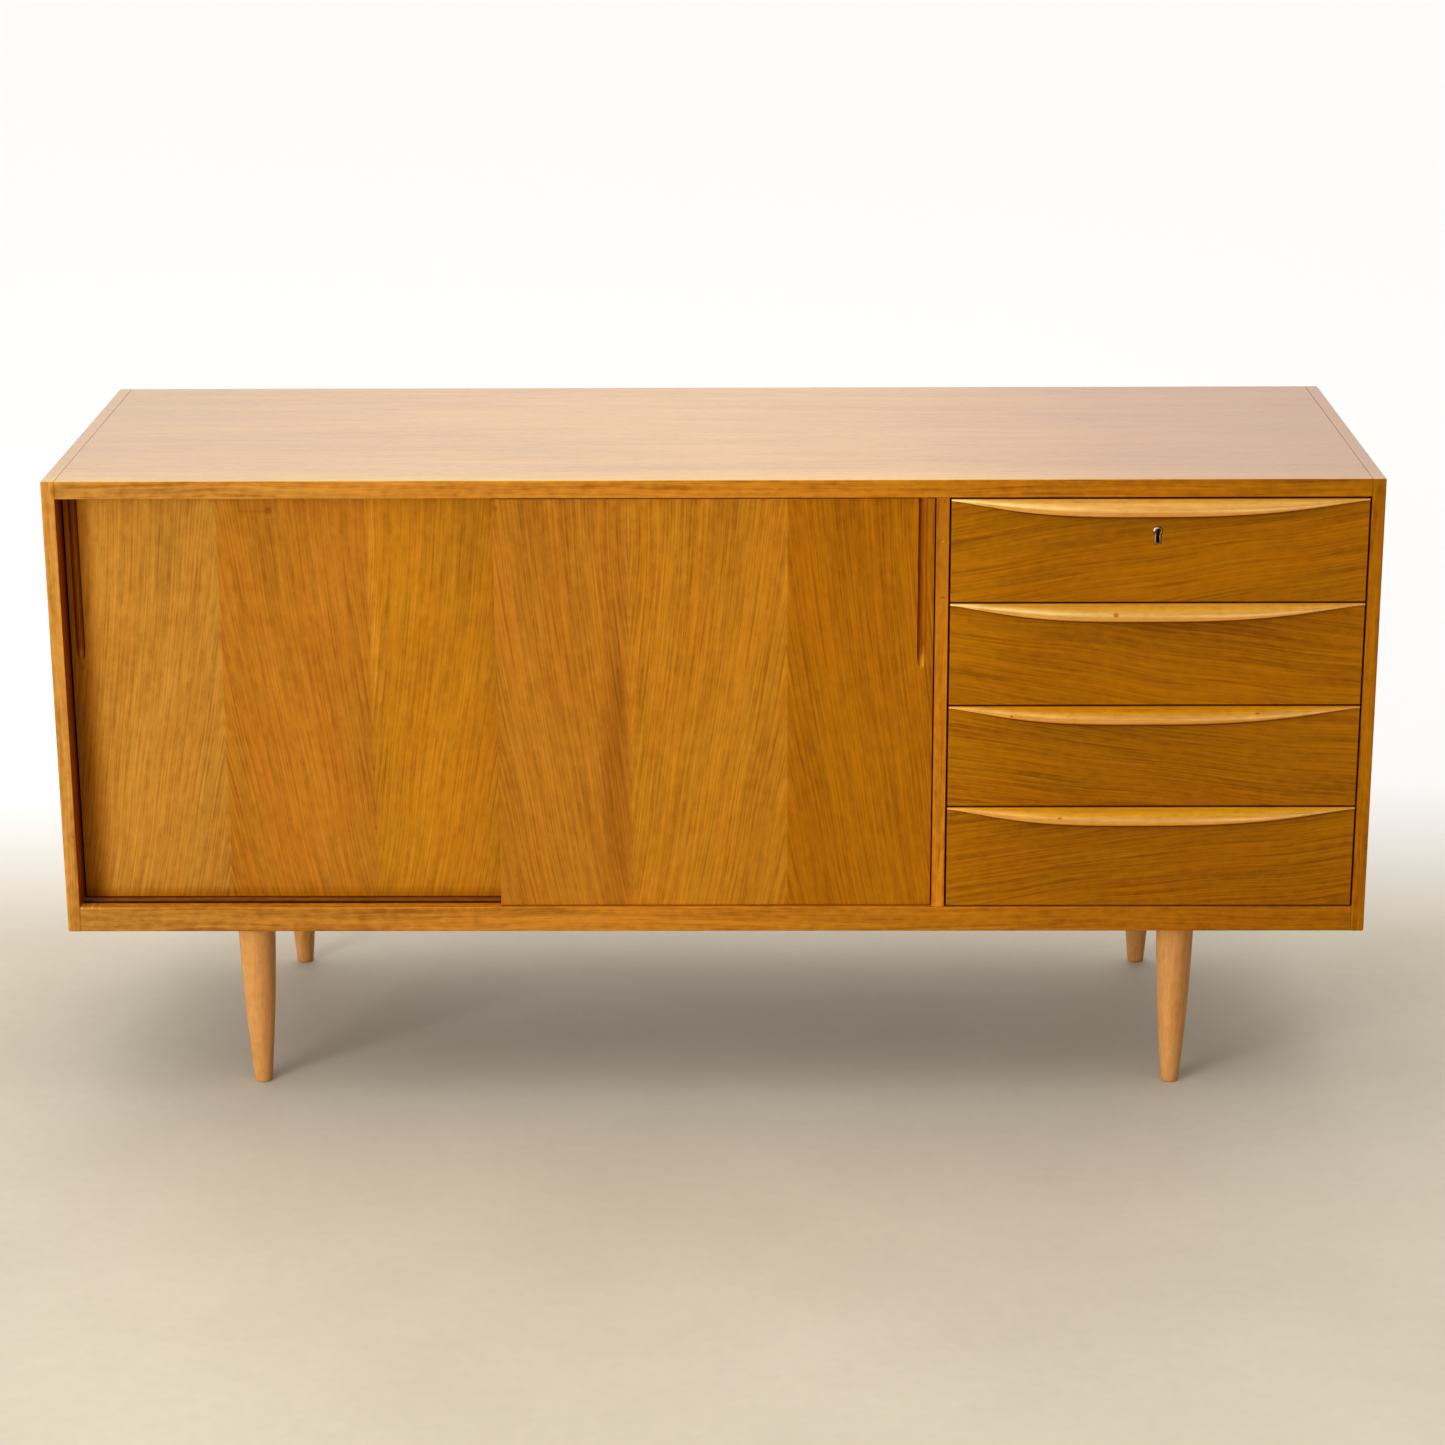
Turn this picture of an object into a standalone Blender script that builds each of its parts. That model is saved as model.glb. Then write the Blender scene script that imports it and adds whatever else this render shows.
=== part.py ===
"""Sideboard buffet: a carcass on four turned legs, with two sliding doors and four drawers.

Metres, +Z up, +X to the right, +Y to the back. The origin is on the floor, under the middle
of the whole piece, drawer pulls included.
"""

import math

import bmesh
import bpy
from mathutils import Matrix, Vector

# Overall sizes
WIDTH = 1.500
CARCASS_DEPTH = 0.509
CARCASS_HEIGHT = 0.535
LEG_HEIGHT = 0.209

# Gaps
JOINT_GAP = 0.0003
REVEAL = 0.0022
OVERCUT = 0.001

# Carcass boards
SIDE_THICK = 0.015
TOP_THICK = 0.0206
BASE_RAIL_HEIGHT = 0.0294
BASE_RAIL_DEPTH = 0.015
BASE_THICK = 0.020
DIVIDER_THICK = 0.0145
DRAWER_BAY = 0.470
OUTER_ROUND = 0.002
ARRIS = 0.0008

# Plywood back in its rebate
BACK_THICK = 0.005
REBATE_DEPTH = 0.006
REBATE_WIDTH = 0.007

# Shelf and its pins
SHELF_THICK = 0.018
SHELF_RISE = 0.236
SHELF_FRONT = 0.058
SHELF_BACK = 0.498
SHELF_SIDE_GAP = 0.0012
PIN_RADIUS = 0.0025
PIN_HOLE_RADIUS = 0.0029
PIN_LENGTH = 0.016
PIN_INSETS = (0.090, 0.460)

# Legs: a shoulder under the batten and a tenon up through it
LEG_X = 0.539
LEG_INSET = 0.056
LEG_TOP_RADIUS = 0.0217
LEG_FOOT_RADIUS = 0.0102
LEG_CURVE = 1.65
LEG_FOOT_ROUND = 0.0022
LEG_RINGS = 10
LEG_SIDES = 24
TENON_RADIUS = 0.0125
TENON_HOLE_RADIUS = 0.0129
TENON_DEPTH = 0.012
BATTEN_WIDTH = 0.070

# Sliding doors, measured back from the carcass front
DOOR_THICK = 0.020
DOOR_WIDTH_RIGHT = 0.4954
DOOR_WIDTH_LEFT = 0.4995
DOOR_FACE_RIGHT = 0.005
DOOR_FACE_LEFT = 0.0353
DOOR_EDGE_RIGHT = 0.0016
DOOR_EDGE_LEFT = 0.002
DOOR_BOTTOM_GAP = 0.0015
DOOR_TOP_GAP = 0.002
TONGUE_BACK = 0.0107
TONGUE_THICK = 0.0083
TONGUE_PLAY = 0.0005
TRACK_DEPTH_BOTTOM = 0.007
TRACK_DEPTH_TOP = 0.0095
TONGUE_RISE = 0.0075

# Finger groove: a cove down the door, whose lower end ramps out to the face
GROOVE_RADIUS = 0.00525
GROOVE_SINK = 0.0008
GROOVE_FOOT = 0.315
GROOVE_RAMP = 0.027
GROOVE_EDGE_RIGHT = 0.01305
GROOVE_EDGE_LEFT = 0.0106
GROOVE_SIDES = 32

# Drawers
DRAWER_COUNT = 4
DRAWER_INSET = 0.0015
DRAWER_FRONT_THICK = 0.018
BOX_THICK = 0.012
BOX_FOOT = 0.008
BOX_HEIGHT = 0.096
BOX_END = 0.480
TAIL_LENGTH = 0.012
TAIL_ROOT_HALF = 0.008
TAIL_END_HALF = 0.010
TAIL_COUNT = 3
BOTTOM_THICK = 0.005
BOTTOM_RISE = 0.008
BOTTOM_GROOVE = 0.005
BOTTOM_END = 0.478
DRAWER_BACK_START = 0.462
DRAWER_BACK_HEIGHT = 0.076
DADO_DEPTH = 0.004

# Side-hung drawer runners
RUNNER_RISE = 0.056
RUNNER_HALF = 0.0057
RUNNER_PROUD = 0.0071
RUNNER_FRONT = 0.026
RUNNER_BACK = 0.500
RUNNER_GROOVE_DEPTH = 0.0053
RUNNER_GROOVE_FRONT = 0.024

# Drawer pull: the section at its crest, as (out from the face, down from the top) points,
# each triple a quadratic curve. The crest lies a little left of the drawer's middle, and the
# section shrinks from it towards both ends of the drawer.
PULL_CURVES = (
    ((0.0, 0.0), (0.0155, 0.0072), (0.0155, 0.0158)),
    ((0.0155, 0.0158), (0.0155, 0.0184), (0.0140, 0.0192)),
    ((0.0140, 0.0192), (0.0128, 0.0199), (0.0112, 0.0194)),
    ((0.0112, 0.0194), (0.0055, 0.0066), (0.0, 0.0165)),
)
PULL_CREST = 0.022
PULL_TIP_SCALE = 0.10
PULL_TAPER = 3.0
PULL_SWELL = 1.35
PULL_STATIONS = 18
PULL_STEPS = 3
PULL_OUT = PULL_CURVES[0][-1][0]

# Lock and keyhole in the top drawer
LOCK_X = 0.498
LOCK_HALF_WIDTH = 0.026
LOCK_HEIGHT = 0.056
LOCK_POCKET_DEPTH = 0.010
BOLT_HALF_WIDTH = 0.009
BOLT_THICK = 0.0026
BOLT_LENGTH = 0.021
BOLT_TRAVEL = 0.008
BOLT_SETBACK = 0.013
BOLT_TOP_GAP = 0.0008
BOLT_PLAY = 0.0003
MORTISE_SETBACK = 0.0114
MORTISE_WIDTH = 0.006
MORTISE_END_PLAY = 0.002
KEY_DROP = 0.0372
KEY_RECESS = 0.006
PLATE_PROUD = 0.0005
PLATE_SUNK = 0.0022

# Keyhole outlines: head radius, half width at the neck, half width at the foot, head to foot
KEYHOLE = (0.0030, 0.00165, 0.0020, 0.0128)
PLATE = (0.0053, 0.0036, 0.0041, 0.0146)

# Levels and planes that follow from the sizes above
UNDERSIDE = LEG_HEIGHT
FLOOR = UNDERSIDE + BASE_RAIL_HEIGHT
PANEL_UNDER = FLOOR - BASE_THICK
TOP = UNDERSIDE + CARCASS_HEIGHT
CEILING = TOP - TOP_THICK
INNER = WIDTH / 2 - SIDE_THICK
BAY_LEFT = INNER - DRAWER_BAY
DIVIDER_LEFT = BAY_LEFT - DIVIDER_THICK
PULL_PROUD = PULL_OUT - DRAWER_INSET + JOINT_GAP
FRONT = (PULL_PROUD - CARCASS_DEPTH) / 2
REBATE_START = CARCASS_DEPTH - REBATE_DEPTH
RAIL_BACK_START = REBATE_START - JOINT_GAP - BASE_RAIL_DEPTH
PANEL_START = BASE_RAIL_DEPTH + JOINT_GAP
PANEL_END = RAIL_BACK_START - JOINT_GAP
SHELF_TOP = FLOOR + SHELF_RISE
FRONT_HEIGHT = (CEILING - FLOOR - (DRAWER_COUNT + 1) * REVEAL) / DRAWER_COUNT
DRAWER_LEFT = BAY_LEFT + REVEAL
DRAWER_RIGHT = INNER - REVEAL


def y_at(setback):
    """The Y of a plane this far behind the carcass front."""
    return FRONT + setback


# ---------------------------------------------------------------- shapes


def loft(bm, rings):
    """Add one closed body: a skin over rings of points, with a flat cap at each end."""
    loops = [[bm.verts.new(point) for point in ring] for ring in rings]
    for here, beyond in zip(loops, loops[1:]):
        for i, corner in enumerate(here):
            bm.faces.new((here[i - 1], corner, beyond[i], beyond[i - 1]))
    bm.faces.new(loops[0])
    bm.faces.new(loops[-1])
    bmesh.ops.recalc_face_normals(bm, faces=bm.faces)


def box(bm, low, high):
    """Add a box between two corners."""
    low = Vector(low)
    size = Vector(high) - low
    place = Matrix.Translation(low + size / 2) @ Matrix.Diagonal((*size, 1.0))
    bmesh.ops.create_cube(bm, size=1.0, matrix=place)


def board(bm, x, setback, z):
    """Add a box from its X range, its range behind the carcass front and its Z range."""
    box(bm, (x[0], y_at(setback[0]), z[0]), (x[1], y_at(setback[1]), z[1]))


def circle(centre, radius, sides):
    """Points of a circle about a 2-D centre."""
    turns = (2 * math.pi * i / sides for i in range(sides))
    return [(centre[0] + radius * math.cos(a), centre[1] + radius * math.sin(a)) for a in turns]


def quadratic(start, control, end, t):
    """The point at t on a quadratic curve."""
    return tuple(
        (1 - t) ** 2 * a + 2 * t * (1 - t) * b + t**2 * c for a, b, c in zip(start, control, end)
    )


def keyhole_outline(head_z, size, grow=0.0):
    """(x, z) points of a round head over a slot that widens a little towards its foot."""
    radius, neck, foot, drop = size
    radius += grow
    neck += grow
    foot += grow
    drop += grow
    start = math.asin(neck / radius)
    steps = 16
    points = []
    for i in range(steps + 1):
        turn = start + 2 * (math.pi - start) * i / steps
        points.append((LOCK_X + radius * math.sin(turn), head_z - radius * math.cos(turn)))
    points.append((LOCK_X - foot, head_z - drop))
    points.append((LOCK_X + foot, head_z - drop))
    return points


def along_y(outline, start, end):
    """Two rings that sweep an (x, z) outline between two setbacks."""
    return [[(x, y_at(setback), z) for x, z in outline] for setback in (start, end)]


# ---------------------------------------------------------------- objects


def finish(name, colour, roughness, metallic=0.0):
    """A Principled material."""
    material = bpy.data.materials.new(name)
    material.use_nodes = True
    shader = material.node_tree.nodes["Principled BSDF"]
    shader.inputs["Base Color"].default_value = (*colour, 1.0)
    shader.inputs["Roughness"].default_value = roughness
    shader.inputs["Metallic"].default_value = metallic
    return material


def empty(name, place):
    """An empty that stands on a joint's axis and carries the pieces that move with it."""
    carrier = bpy.data.objects.new(name, None)
    carrier.location = place
    carrier.empty_display_size = 0.05
    bpy.context.scene.collection.objects.link(carrier)
    return carrier


def add(name, bm, material=None, parent=None, smooth=False):
    """Turn a bmesh in world coordinates into an object whose origin is at its parent, or at
    the middle of its own box when it has none."""
    if parent:
        origin = parent.location.copy()
    else:
        corners = [vert.co for vert in bm.verts]
        low = Vector(min(corner[i] for corner in corners) for i in range(3))
        high = Vector(max(corner[i] for corner in corners) for i in range(3))
        origin = (low + high) / 2
    bmesh.ops.translate(bm, vec=-origin, verts=bm.verts)
    mesh = bpy.data.meshes.new(name)
    bm.to_mesh(mesh)
    bm.free()
    if smooth:
        mesh.shade_smooth()
        mesh.set_sharp_from_angle(angle=math.radians(35))
    if material:
        mesh.materials.append(material)
    obj = bpy.data.objects.new(name, mesh)
    if parent:
        obj.parent = parent
    else:
        obj.location = origin
    bpy.context.scene.collection.objects.link(obj)
    return obj


def add_board(name, x, setback, z, material, parent=None):
    """One plain board."""
    bm = bmesh.new()
    board(bm, x, setback, z)
    return add(name, bm, material, parent)


def round_edges(obj, width, segments, chosen=None):
    """Round an object's edges: all of them, or those whose two ends both pass a test."""
    if chosen:
        weights = obj.data.attributes.new("bevel_weight_edge", "FLOAT", "EDGE")
        for edge in obj.data.edges:
            ends = (obj.data.vertices[i].co for i in edge.vertices)
            weights.data[edge.index].value = float(all(chosen(end) for end in ends))
    bevel = obj.modifiers.new("Rounded edges", "BEVEL")
    bevel.width = width
    bevel.segments = segments
    bevel.limit_method = "WEIGHT" if chosen else "ANGLE"


def cut(obj, name, bm):
    """Take a cutter, in world coordinates, out of an object."""
    cutter = add(f"{obj.name}_{name}_cutter", bm, parent=obj.parent)
    cutter.hide_render = True
    cutter.display_type = "WIRE"
    boolean = obj.modifiers.new(name, "BOOLEAN")
    boolean.object = cutter
    boolean.operation = "DIFFERENCE"
    boolean.solver = "EXACT"


# ---------------------------------------------------------------- carcass


def add_side_panel(name, side, material):
    """A carcass side: rebated for the back, drilled on the left for the shelf pins."""
    edges = sorted((side * INNER, side * WIDTH / 2))
    panel = add_board(name, edges, (0, CARCASS_DEPTH), (UNDERSIDE, TOP), material)
    round_edges(panel, OUTER_ROUND, 3, chosen=lambda end: end.x * side > 0)
    rebate = bmesh.new()
    board(
        rebate,
        sorted((side * (INNER - OVERCUT), side * (INNER + REBATE_WIDTH))),
        (REBATE_START, CARCASS_DEPTH + OVERCUT),
        (UNDERSIDE + BACK_THICK / 2, CEILING + REBATE_WIDTH + JOINT_GAP),
    )
    cut(panel, "back_rebate", rebate)
    if side < 0:
        cut(panel, "pin_holes", pin_holes(-INNER, -1))


def shelf_pin_z():
    """Height of the shelf pins' axes, just under the shelf."""
    return SHELF_TOP - SHELF_THICK - JOINT_GAP - PIN_RADIUS


def pin_holes(wall, side):
    """Cutters for the pin holes in the wall at this X; side is the way they go in."""
    bm = bmesh.new()
    depth = PIN_LENGTH / 2 + JOINT_GAP
    for inset in PIN_INSETS:
        ring = circle((y_at(inset), shelf_pin_z()), PIN_HOLE_RADIUS, 16)
        ends = (wall - side * OVERCUT, wall + side * depth)
        loft(bm, [[(x, y, z) for y, z in ring] for x in ends])
    return bm


def tracks(low_z, high_z):
    """Cutters for the two door tracks, between the left side and the divider."""
    bm = bmesh.new()
    for face in (DOOR_FACE_RIGHT, DOOR_FACE_LEFT):
        start = face + TONGUE_BACK - TONGUE_PLAY
        end = face + TONGUE_BACK + TONGUE_THICK + TONGUE_PLAY
        board(bm, (-INNER - OVERCUT, DIVIDER_LEFT), (start, end), (low_z, high_z))
    return bm


def add_top_panel(material):
    """The top, between the sides: door tracks, lock mortise and back rebate in its underside."""
    span = INNER - JOINT_GAP
    panel = add_board("top_panel", (-span, span), (0, CARCASS_DEPTH), (CEILING, TOP), material)
    round_edges(panel, ARRIS, 2, chosen=lambda end: end.z > 0 or end.y < 0)
    cut(panel, "door_tracks", tracks(CEILING - OVERCUT, CEILING + TRACK_DEPTH_TOP))
    hollows = bmesh.new()
    board(
        hollows,
        (-INNER, INNER),
        (REBATE_START, CARCASS_DEPTH + OVERCUT),
        (CEILING - OVERCUT, CEILING + REBATE_WIDTH + JOINT_GAP),
    )
    mortise_half = BOLT_HALF_WIDTH + MORTISE_END_PLAY
    board(
        hollows,
        (LOCK_X - mortise_half, LOCK_X + mortise_half),
        (MORTISE_SETBACK, MORTISE_SETBACK + MORTISE_WIDTH),
        (CEILING - OVERCUT, CEILING + BOLT_TRAVEL),
    )
    cut(panel, "rebate_and_mortise", hollows)


def leg_places():
    """(name, x, setback) of each leg."""
    for end, setback in (("front", LEG_INSET), ("back", CARCASS_DEPTH - LEG_INSET)):
        for side, x in (("left", -LEG_X), ("right", LEG_X)):
            yield f"leg_{end}_{side}", x, setback


def tenon_hole(bm, x, setback, low_z, high_z):
    """Add a cutter for one leg tenon's hole."""
    ring = circle((x, y_at(setback)), TENON_HOLE_RADIUS, LEG_SIDES)
    loft(bm, [[(px, py, z) for px, py in ring] for z in (low_z, high_z)])


def add_base(material, hidden_material):
    """The bottom panel between its edge rails, and the battens that take the legs."""
    span = INNER - JOINT_GAP
    rail_z = (UNDERSIDE, FLOOR)
    front_rail = add_board(
        "bottom_front_rail", (-span, span), (0, BASE_RAIL_DEPTH), rail_z, material
    )
    round_edges(front_rail, ARRIS, 2, chosen=lambda end: end.y < 0)
    add_board(
        "bottom_back_rail",
        (-span, span),
        (RAIL_BACK_START, RAIL_BACK_START + BASE_RAIL_DEPTH),
        rail_z,
        material,
    )
    panel = add_board(
        "bottom_panel", (-span, span), (PANEL_START, PANEL_END), (PANEL_UNDER, FLOOR), material
    )
    cut(panel, "door_tracks", tracks(FLOOR - TRACK_DEPTH_BOTTOM, FLOOR + OVERCUT))
    holes = bmesh.new()
    for _, x, setback in leg_places():
        tenon_hole(holes, x, setback, PANEL_UNDER - OVERCUT, PANEL_UNDER + TENON_DEPTH)
    cut(panel, "tenon_holes", holes)
    for name, middle in (("leg_batten_left", -LEG_X), ("leg_batten_right", LEG_X)):
        batten = add_board(
            name,
            (middle - BATTEN_WIDTH / 2, middle + BATTEN_WIDTH / 2),
            (PANEL_START, PANEL_END),
            (UNDERSIDE, PANEL_UNDER - JOINT_GAP),
            hidden_material,
        )
        holes = bmesh.new()
        for _, x, setback in leg_places():
            if x * middle > 0:
                tenon_hole(holes, x, setback, UNDERSIDE - OVERCUT, PANEL_UNDER + OVERCUT)
        cut(batten, "tenon_holes", holes)


def add_divider(material):
    """The upright between the cupboard and the drawers."""
    divider = add_board(
        "divider_panel",
        (DIVIDER_LEFT, BAY_LEFT),
        (0, REBATE_START - JOINT_GAP),
        (FLOOR + JOINT_GAP, CEILING - JOINT_GAP),
        material,
    )
    cut(divider, "pin_holes", pin_holes(DIVIDER_LEFT, 1))


def add_back(material):
    """The plywood back in its rebate."""
    half = INNER + REBATE_WIDTH - JOINT_GAP
    start = REBATE_START + JOINT_GAP
    add_board(
        "back_panel",
        (-half, half),
        (start, start + BACK_THICK),
        (UNDERSIDE + BACK_THICK / 2 + JOINT_GAP, CEILING + REBATE_WIDTH),
        material,
    )


def add_shelf(shelf_material, pin_material):
    """The cupboard shelf on its four pins."""
    add_board(
        "shelf",
        (-INNER + SHELF_SIDE_GAP, DIVIDER_LEFT - SHELF_SIDE_GAP),
        (SHELF_FRONT, SHELF_BACK),
        (SHELF_TOP - SHELF_THICK, SHELF_TOP),
        shelf_material,
    )
    for side, wall in (("left", -INNER), ("right", DIVIDER_LEFT)):
        for end, inset in zip(("front", "back"), PIN_INSETS):
            bm = bmesh.new()
            ring = circle((y_at(inset), shelf_pin_z()), PIN_RADIUS, 16)
            ends = (wall - PIN_LENGTH / 2, wall + PIN_LENGTH / 2)
            loft(bm, [[(x, y, z) for y, z in ring] for x in ends])
            add(f"shelf_pin_{end}_{side}", bm, pin_material, smooth=True)


def leg_radius(z):
    """The turned leg's radius at a height: a slow swell that is fullest at the shoulder."""
    swell = 1 - (1 - z / LEG_HEIGHT) ** LEG_CURVE
    return LEG_FOOT_RADIUS + (LEG_TOP_RADIUS - LEG_FOOT_RADIUS) * swell


def leg_profile():
    """(radius, z) points up a leg: rounded foot, swelling shaft, shoulder and tenon."""
    shoulder = UNDERSIDE - JOINT_GAP
    foot_steps = 3
    points = []
    for i in range(foot_steps):
        turn = math.pi / 2 * i / foot_steps
        inset = LEG_FOOT_ROUND * (1 - math.sin(turn))
        points.append((leg_radius(0) - inset, LEG_FOOT_ROUND * (1 - math.cos(turn))))
    for i in range(LEG_RINGS):
        z = LEG_FOOT_ROUND + (shoulder - LEG_FOOT_ROUND) * i / (LEG_RINGS - 1)
        points.append((leg_radius(z), z))
    points.append((TENON_RADIUS, shoulder))
    points.append((TENON_RADIUS, PANEL_UNDER + TENON_DEPTH - JOINT_GAP))
    return points


def add_legs(material):
    """Four round legs, turned about vertical axes."""
    for name, x, setback in leg_places():
        bm = bmesh.new()
        centre = (x, y_at(setback))
        rings = []
        for radius, z in leg_profile():
            rings.append([(px, py, z) for px, py in circle(centre, radius, LEG_SIDES)])
        loft(bm, rings)
        add(name, bm, material, smooth=True)


# ---------------------------------------------------------------- doors


def door_outline(face):
    """(y, z) points of a door's section, with a tongue into each track."""
    front, back = y_at(face), y_at(face + DOOR_THICK)
    tongue = y_at(face + TONGUE_BACK)
    tongue_back = tongue + TONGUE_THICK
    low, high = FLOOR + DOOR_BOTTOM_GAP, CEILING - DOOR_TOP_GAP
    foot = FLOOR - TRACK_DEPTH_BOTTOM + JOINT_GAP
    head = CEILING + TONGUE_RISE
    return [
        (front, low),
        (tongue, low),
        (tongue, foot),
        (tongue_back, foot),
        (tongue_back, low),
        (back, low),
        (back, high),
        (tongue_back, high),
        (tongue_back, head),
        (tongue, head),
        (tongue, high),
        (front, high),
    ]


def groove_cutter(x, face):
    """A cove cutter, open at the door's head, that leaves the face along a ramp at its foot."""
    bm = bmesh.new()
    foot = UNDERSIDE + GROOVE_FOOT
    ramp_steps = 10
    rings = []
    for i in range(ramp_steps + 1):
        t = i / ramp_steps
        sink = GROOVE_SINK * t - GROOVE_RADIUS * (1 - t) ** 1.6
        ring = circle((x, y_at(face + sink)), GROOVE_RADIUS, GROOVE_SIDES)
        rings.append([(px, py, foot + GROOVE_RAMP * t) for px, py in ring])
    rings.append([(px, py, CEILING) for px, py, _ in rings[-1]])
    loft(bm, rings)
    return bm


def add_door(name, left_edge, width, face, groove_x, material):
    """One sliding door on its slide, which runs along X through the middle of its foot."""
    slide = empty(f"{name}_slide", (left_edge + width / 2, y_at(face + DOOR_THICK / 2), FLOOR))
    bm = bmesh.new()
    outline = door_outline(face)
    loft(bm, [[(x, y, z) for y, z in outline] for x in (left_edge, left_edge + width)])
    door = add(name, bm, material, parent=slide)
    cut(door, "finger_groove", groove_cutter(groove_x, face))


def add_doors(material):
    """The two sliding doors: the right one runs in the front track."""
    left = -INNER + DOOR_EDGE_LEFT
    right = DIVIDER_LEFT - DOOR_EDGE_RIGHT
    add_door(
        "door_left", left, DOOR_WIDTH_LEFT, DOOR_FACE_LEFT, left + GROOVE_EDGE_LEFT, material
    )
    add_door(
        "door_right",
        right - DOOR_WIDTH_RIGHT,
        DOOR_WIDTH_RIGHT,
        DOOR_FACE_RIGHT,
        right - GROOVE_EDGE_RIGHT,
        material,
    )


# ---------------------------------------------------------------- drawers


def pull_ring(x):
    """The pull's section at this X, tapering smoothly from its crest to the drawer's ends."""
    crest = (DRAWER_LEFT + DRAWER_RIGHT) / 2 - PULL_CREST
    end = DRAWER_LEFT if x < crest else DRAWER_RIGHT
    share = min(1.0, (x - crest) / (end - crest))
    fullness = (1 - share**PULL_TAPER) ** PULL_SWELL
    scale = PULL_TIP_SCALE + (1 - PULL_TIP_SCALE) * fullness
    points = []
    for curve in PULL_CURVES:
        for i in range(PULL_STEPS):
            out, down = quadratic(*curve, i / PULL_STEPS)
            points.append((out * scale, down * scale))
    last_out, last_down = PULL_CURVES[-1][-1]
    points.append((last_out * scale, last_down * scale))
    return points


def add_pull(name, top_z, slide, material):
    """A full-width wooden lip on a drawer front, scooped underneath for the fingers."""
    face = y_at(DRAWER_INSET - JOINT_GAP)
    bm = bmesh.new()
    rings = []
    for i in range(PULL_STATIONS + 1):
        x = DRAWER_LEFT + (DRAWER_RIGHT - DRAWER_LEFT) * i / PULL_STATIONS
        rings.append([(x, face - out, top_z - down) for out, down in pull_ring(x)])
    loft(bm, rings)
    add(name, bm, material, parent=slide, smooth=True)


def tail_middles(box_low):
    """Heights of the dovetails' middles."""
    return [box_low + BOX_HEIGHT * (2 * i + 1) / (2 * TAIL_COUNT) for i in range(TAIL_COUNT)]


def tail_outline(middle, grow):
    """(y, z) points of one dovetail, from its root in the side to its end in the front."""
    shoulder = DRAWER_INSET + DRAWER_FRONT_THICK + JOINT_GAP
    tip = shoulder - TAIL_LENGTH - grow
    return [
        (y_at(shoulder), middle + TAIL_ROOT_HALF + grow),
        (y_at(tip), middle + TAIL_END_HALF + grow),
        (y_at(tip), middle - TAIL_END_HALF - grow),
        (y_at(shoulder), middle - TAIL_ROOT_HALF - grow),
    ]


def add_drawer_side(name, outer, inner, box_low, slide, material):
    """A drawer side: dovetails in front, runner groove outside, bottom groove and dado inside."""
    shoulder = y_at(DRAWER_INSET + DRAWER_FRONT_THICK + JOINT_GAP)
    high = box_low + BOX_HEIGHT
    outline = [(shoulder, box_low), (y_at(BOX_END), box_low), (y_at(BOX_END), high)]
    outline.append((shoulder, high))
    for middle in reversed(tail_middles(box_low)):
        outline.extend(tail_outline(middle, 0.0))
    bm = bmesh.new()
    loft(bm, [[(x, y, z) for y, z in outline] for x in (outer, inner)])
    side = add(name, bm, material, parent=slide)
    inward = math.copysign(1.0, inner - outer)
    axis = box_low + RUNNER_RISE
    grooves = bmesh.new()
    board(
        grooves,
        sorted((outer - inward * OVERCUT, outer + inward * RUNNER_GROOVE_DEPTH)),
        (RUNNER_GROOVE_FRONT, BOX_END + OVERCUT),
        (axis - RUNNER_HALF - JOINT_GAP, axis + RUNNER_HALF + JOINT_GAP),
    )
    board(
        grooves,
        sorted((inner + inward * OVERCUT, inner - inward * BOTTOM_GROOVE)),
        (0, BOX_END + OVERCUT),
        (box_low + BOTTOM_RISE, box_low + BOTTOM_RISE + BOTTOM_THICK + 2 * JOINT_GAP),
    )
    cut(side, "grooves", grooves)
    dado = bmesh.new()
    board(
        dado,
        sorted((inner + inward * OVERCUT, inner - inward * (DADO_DEPTH + JOINT_GAP))),
        (DRAWER_BACK_START - JOINT_GAP, DRAWER_BACK_START + BOX_THICK + JOINT_GAP),
        (box_low + BOTTOM_RISE, high + OVERCUT),
    )
    cut(side, "back_dado", dado)


def add_drawer_front(name, low_z, slide, material, has_lock):
    """A drawer front with dovetail sockets and a groove for the bottom in its back face."""
    back = DRAWER_INSET + DRAWER_FRONT_THICK
    high_z = low_z + FRONT_HEIGHT
    bm = bmesh.new()
    board(bm, (DRAWER_LEFT, DRAWER_RIGHT), (DRAWER_INSET, back), (low_z, high_z))
    front = add(name, bm, material, parent=slide)
    round_edges(front, ARRIS / 2, 1, chosen=lambda end: end.y < 0)
    box_low = low_z + BOX_FOOT
    sockets = bmesh.new()
    for outer, inward in ((DRAWER_LEFT, 1), (DRAWER_RIGHT, -1)):
        ends = (outer - inward * OVERCUT, outer + inward * (BOX_THICK + JOINT_GAP))
        for middle in tail_middles(box_low):
            outline = tail_outline(middle, JOINT_GAP)
            loft(sockets, [[(x, y, z) for y, z in outline] for x in ends])
    cut(front, "dovetail_sockets", sockets)
    groove = bmesh.new()
    board(
        groove,
        (DRAWER_LEFT + BOX_THICK - BOTTOM_GROOVE, DRAWER_RIGHT - BOX_THICK + BOTTOM_GROOVE),
        (back - BOTTOM_GROOVE, back + OVERCUT),
        (box_low + BOTTOM_RISE, box_low + BOTTOM_RISE + BOTTOM_THICK + 2 * JOINT_GAP),
    )
    cut(front, "bottom_groove", groove)
    if has_lock:
        cut_for_lock(front, high_z)


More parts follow.
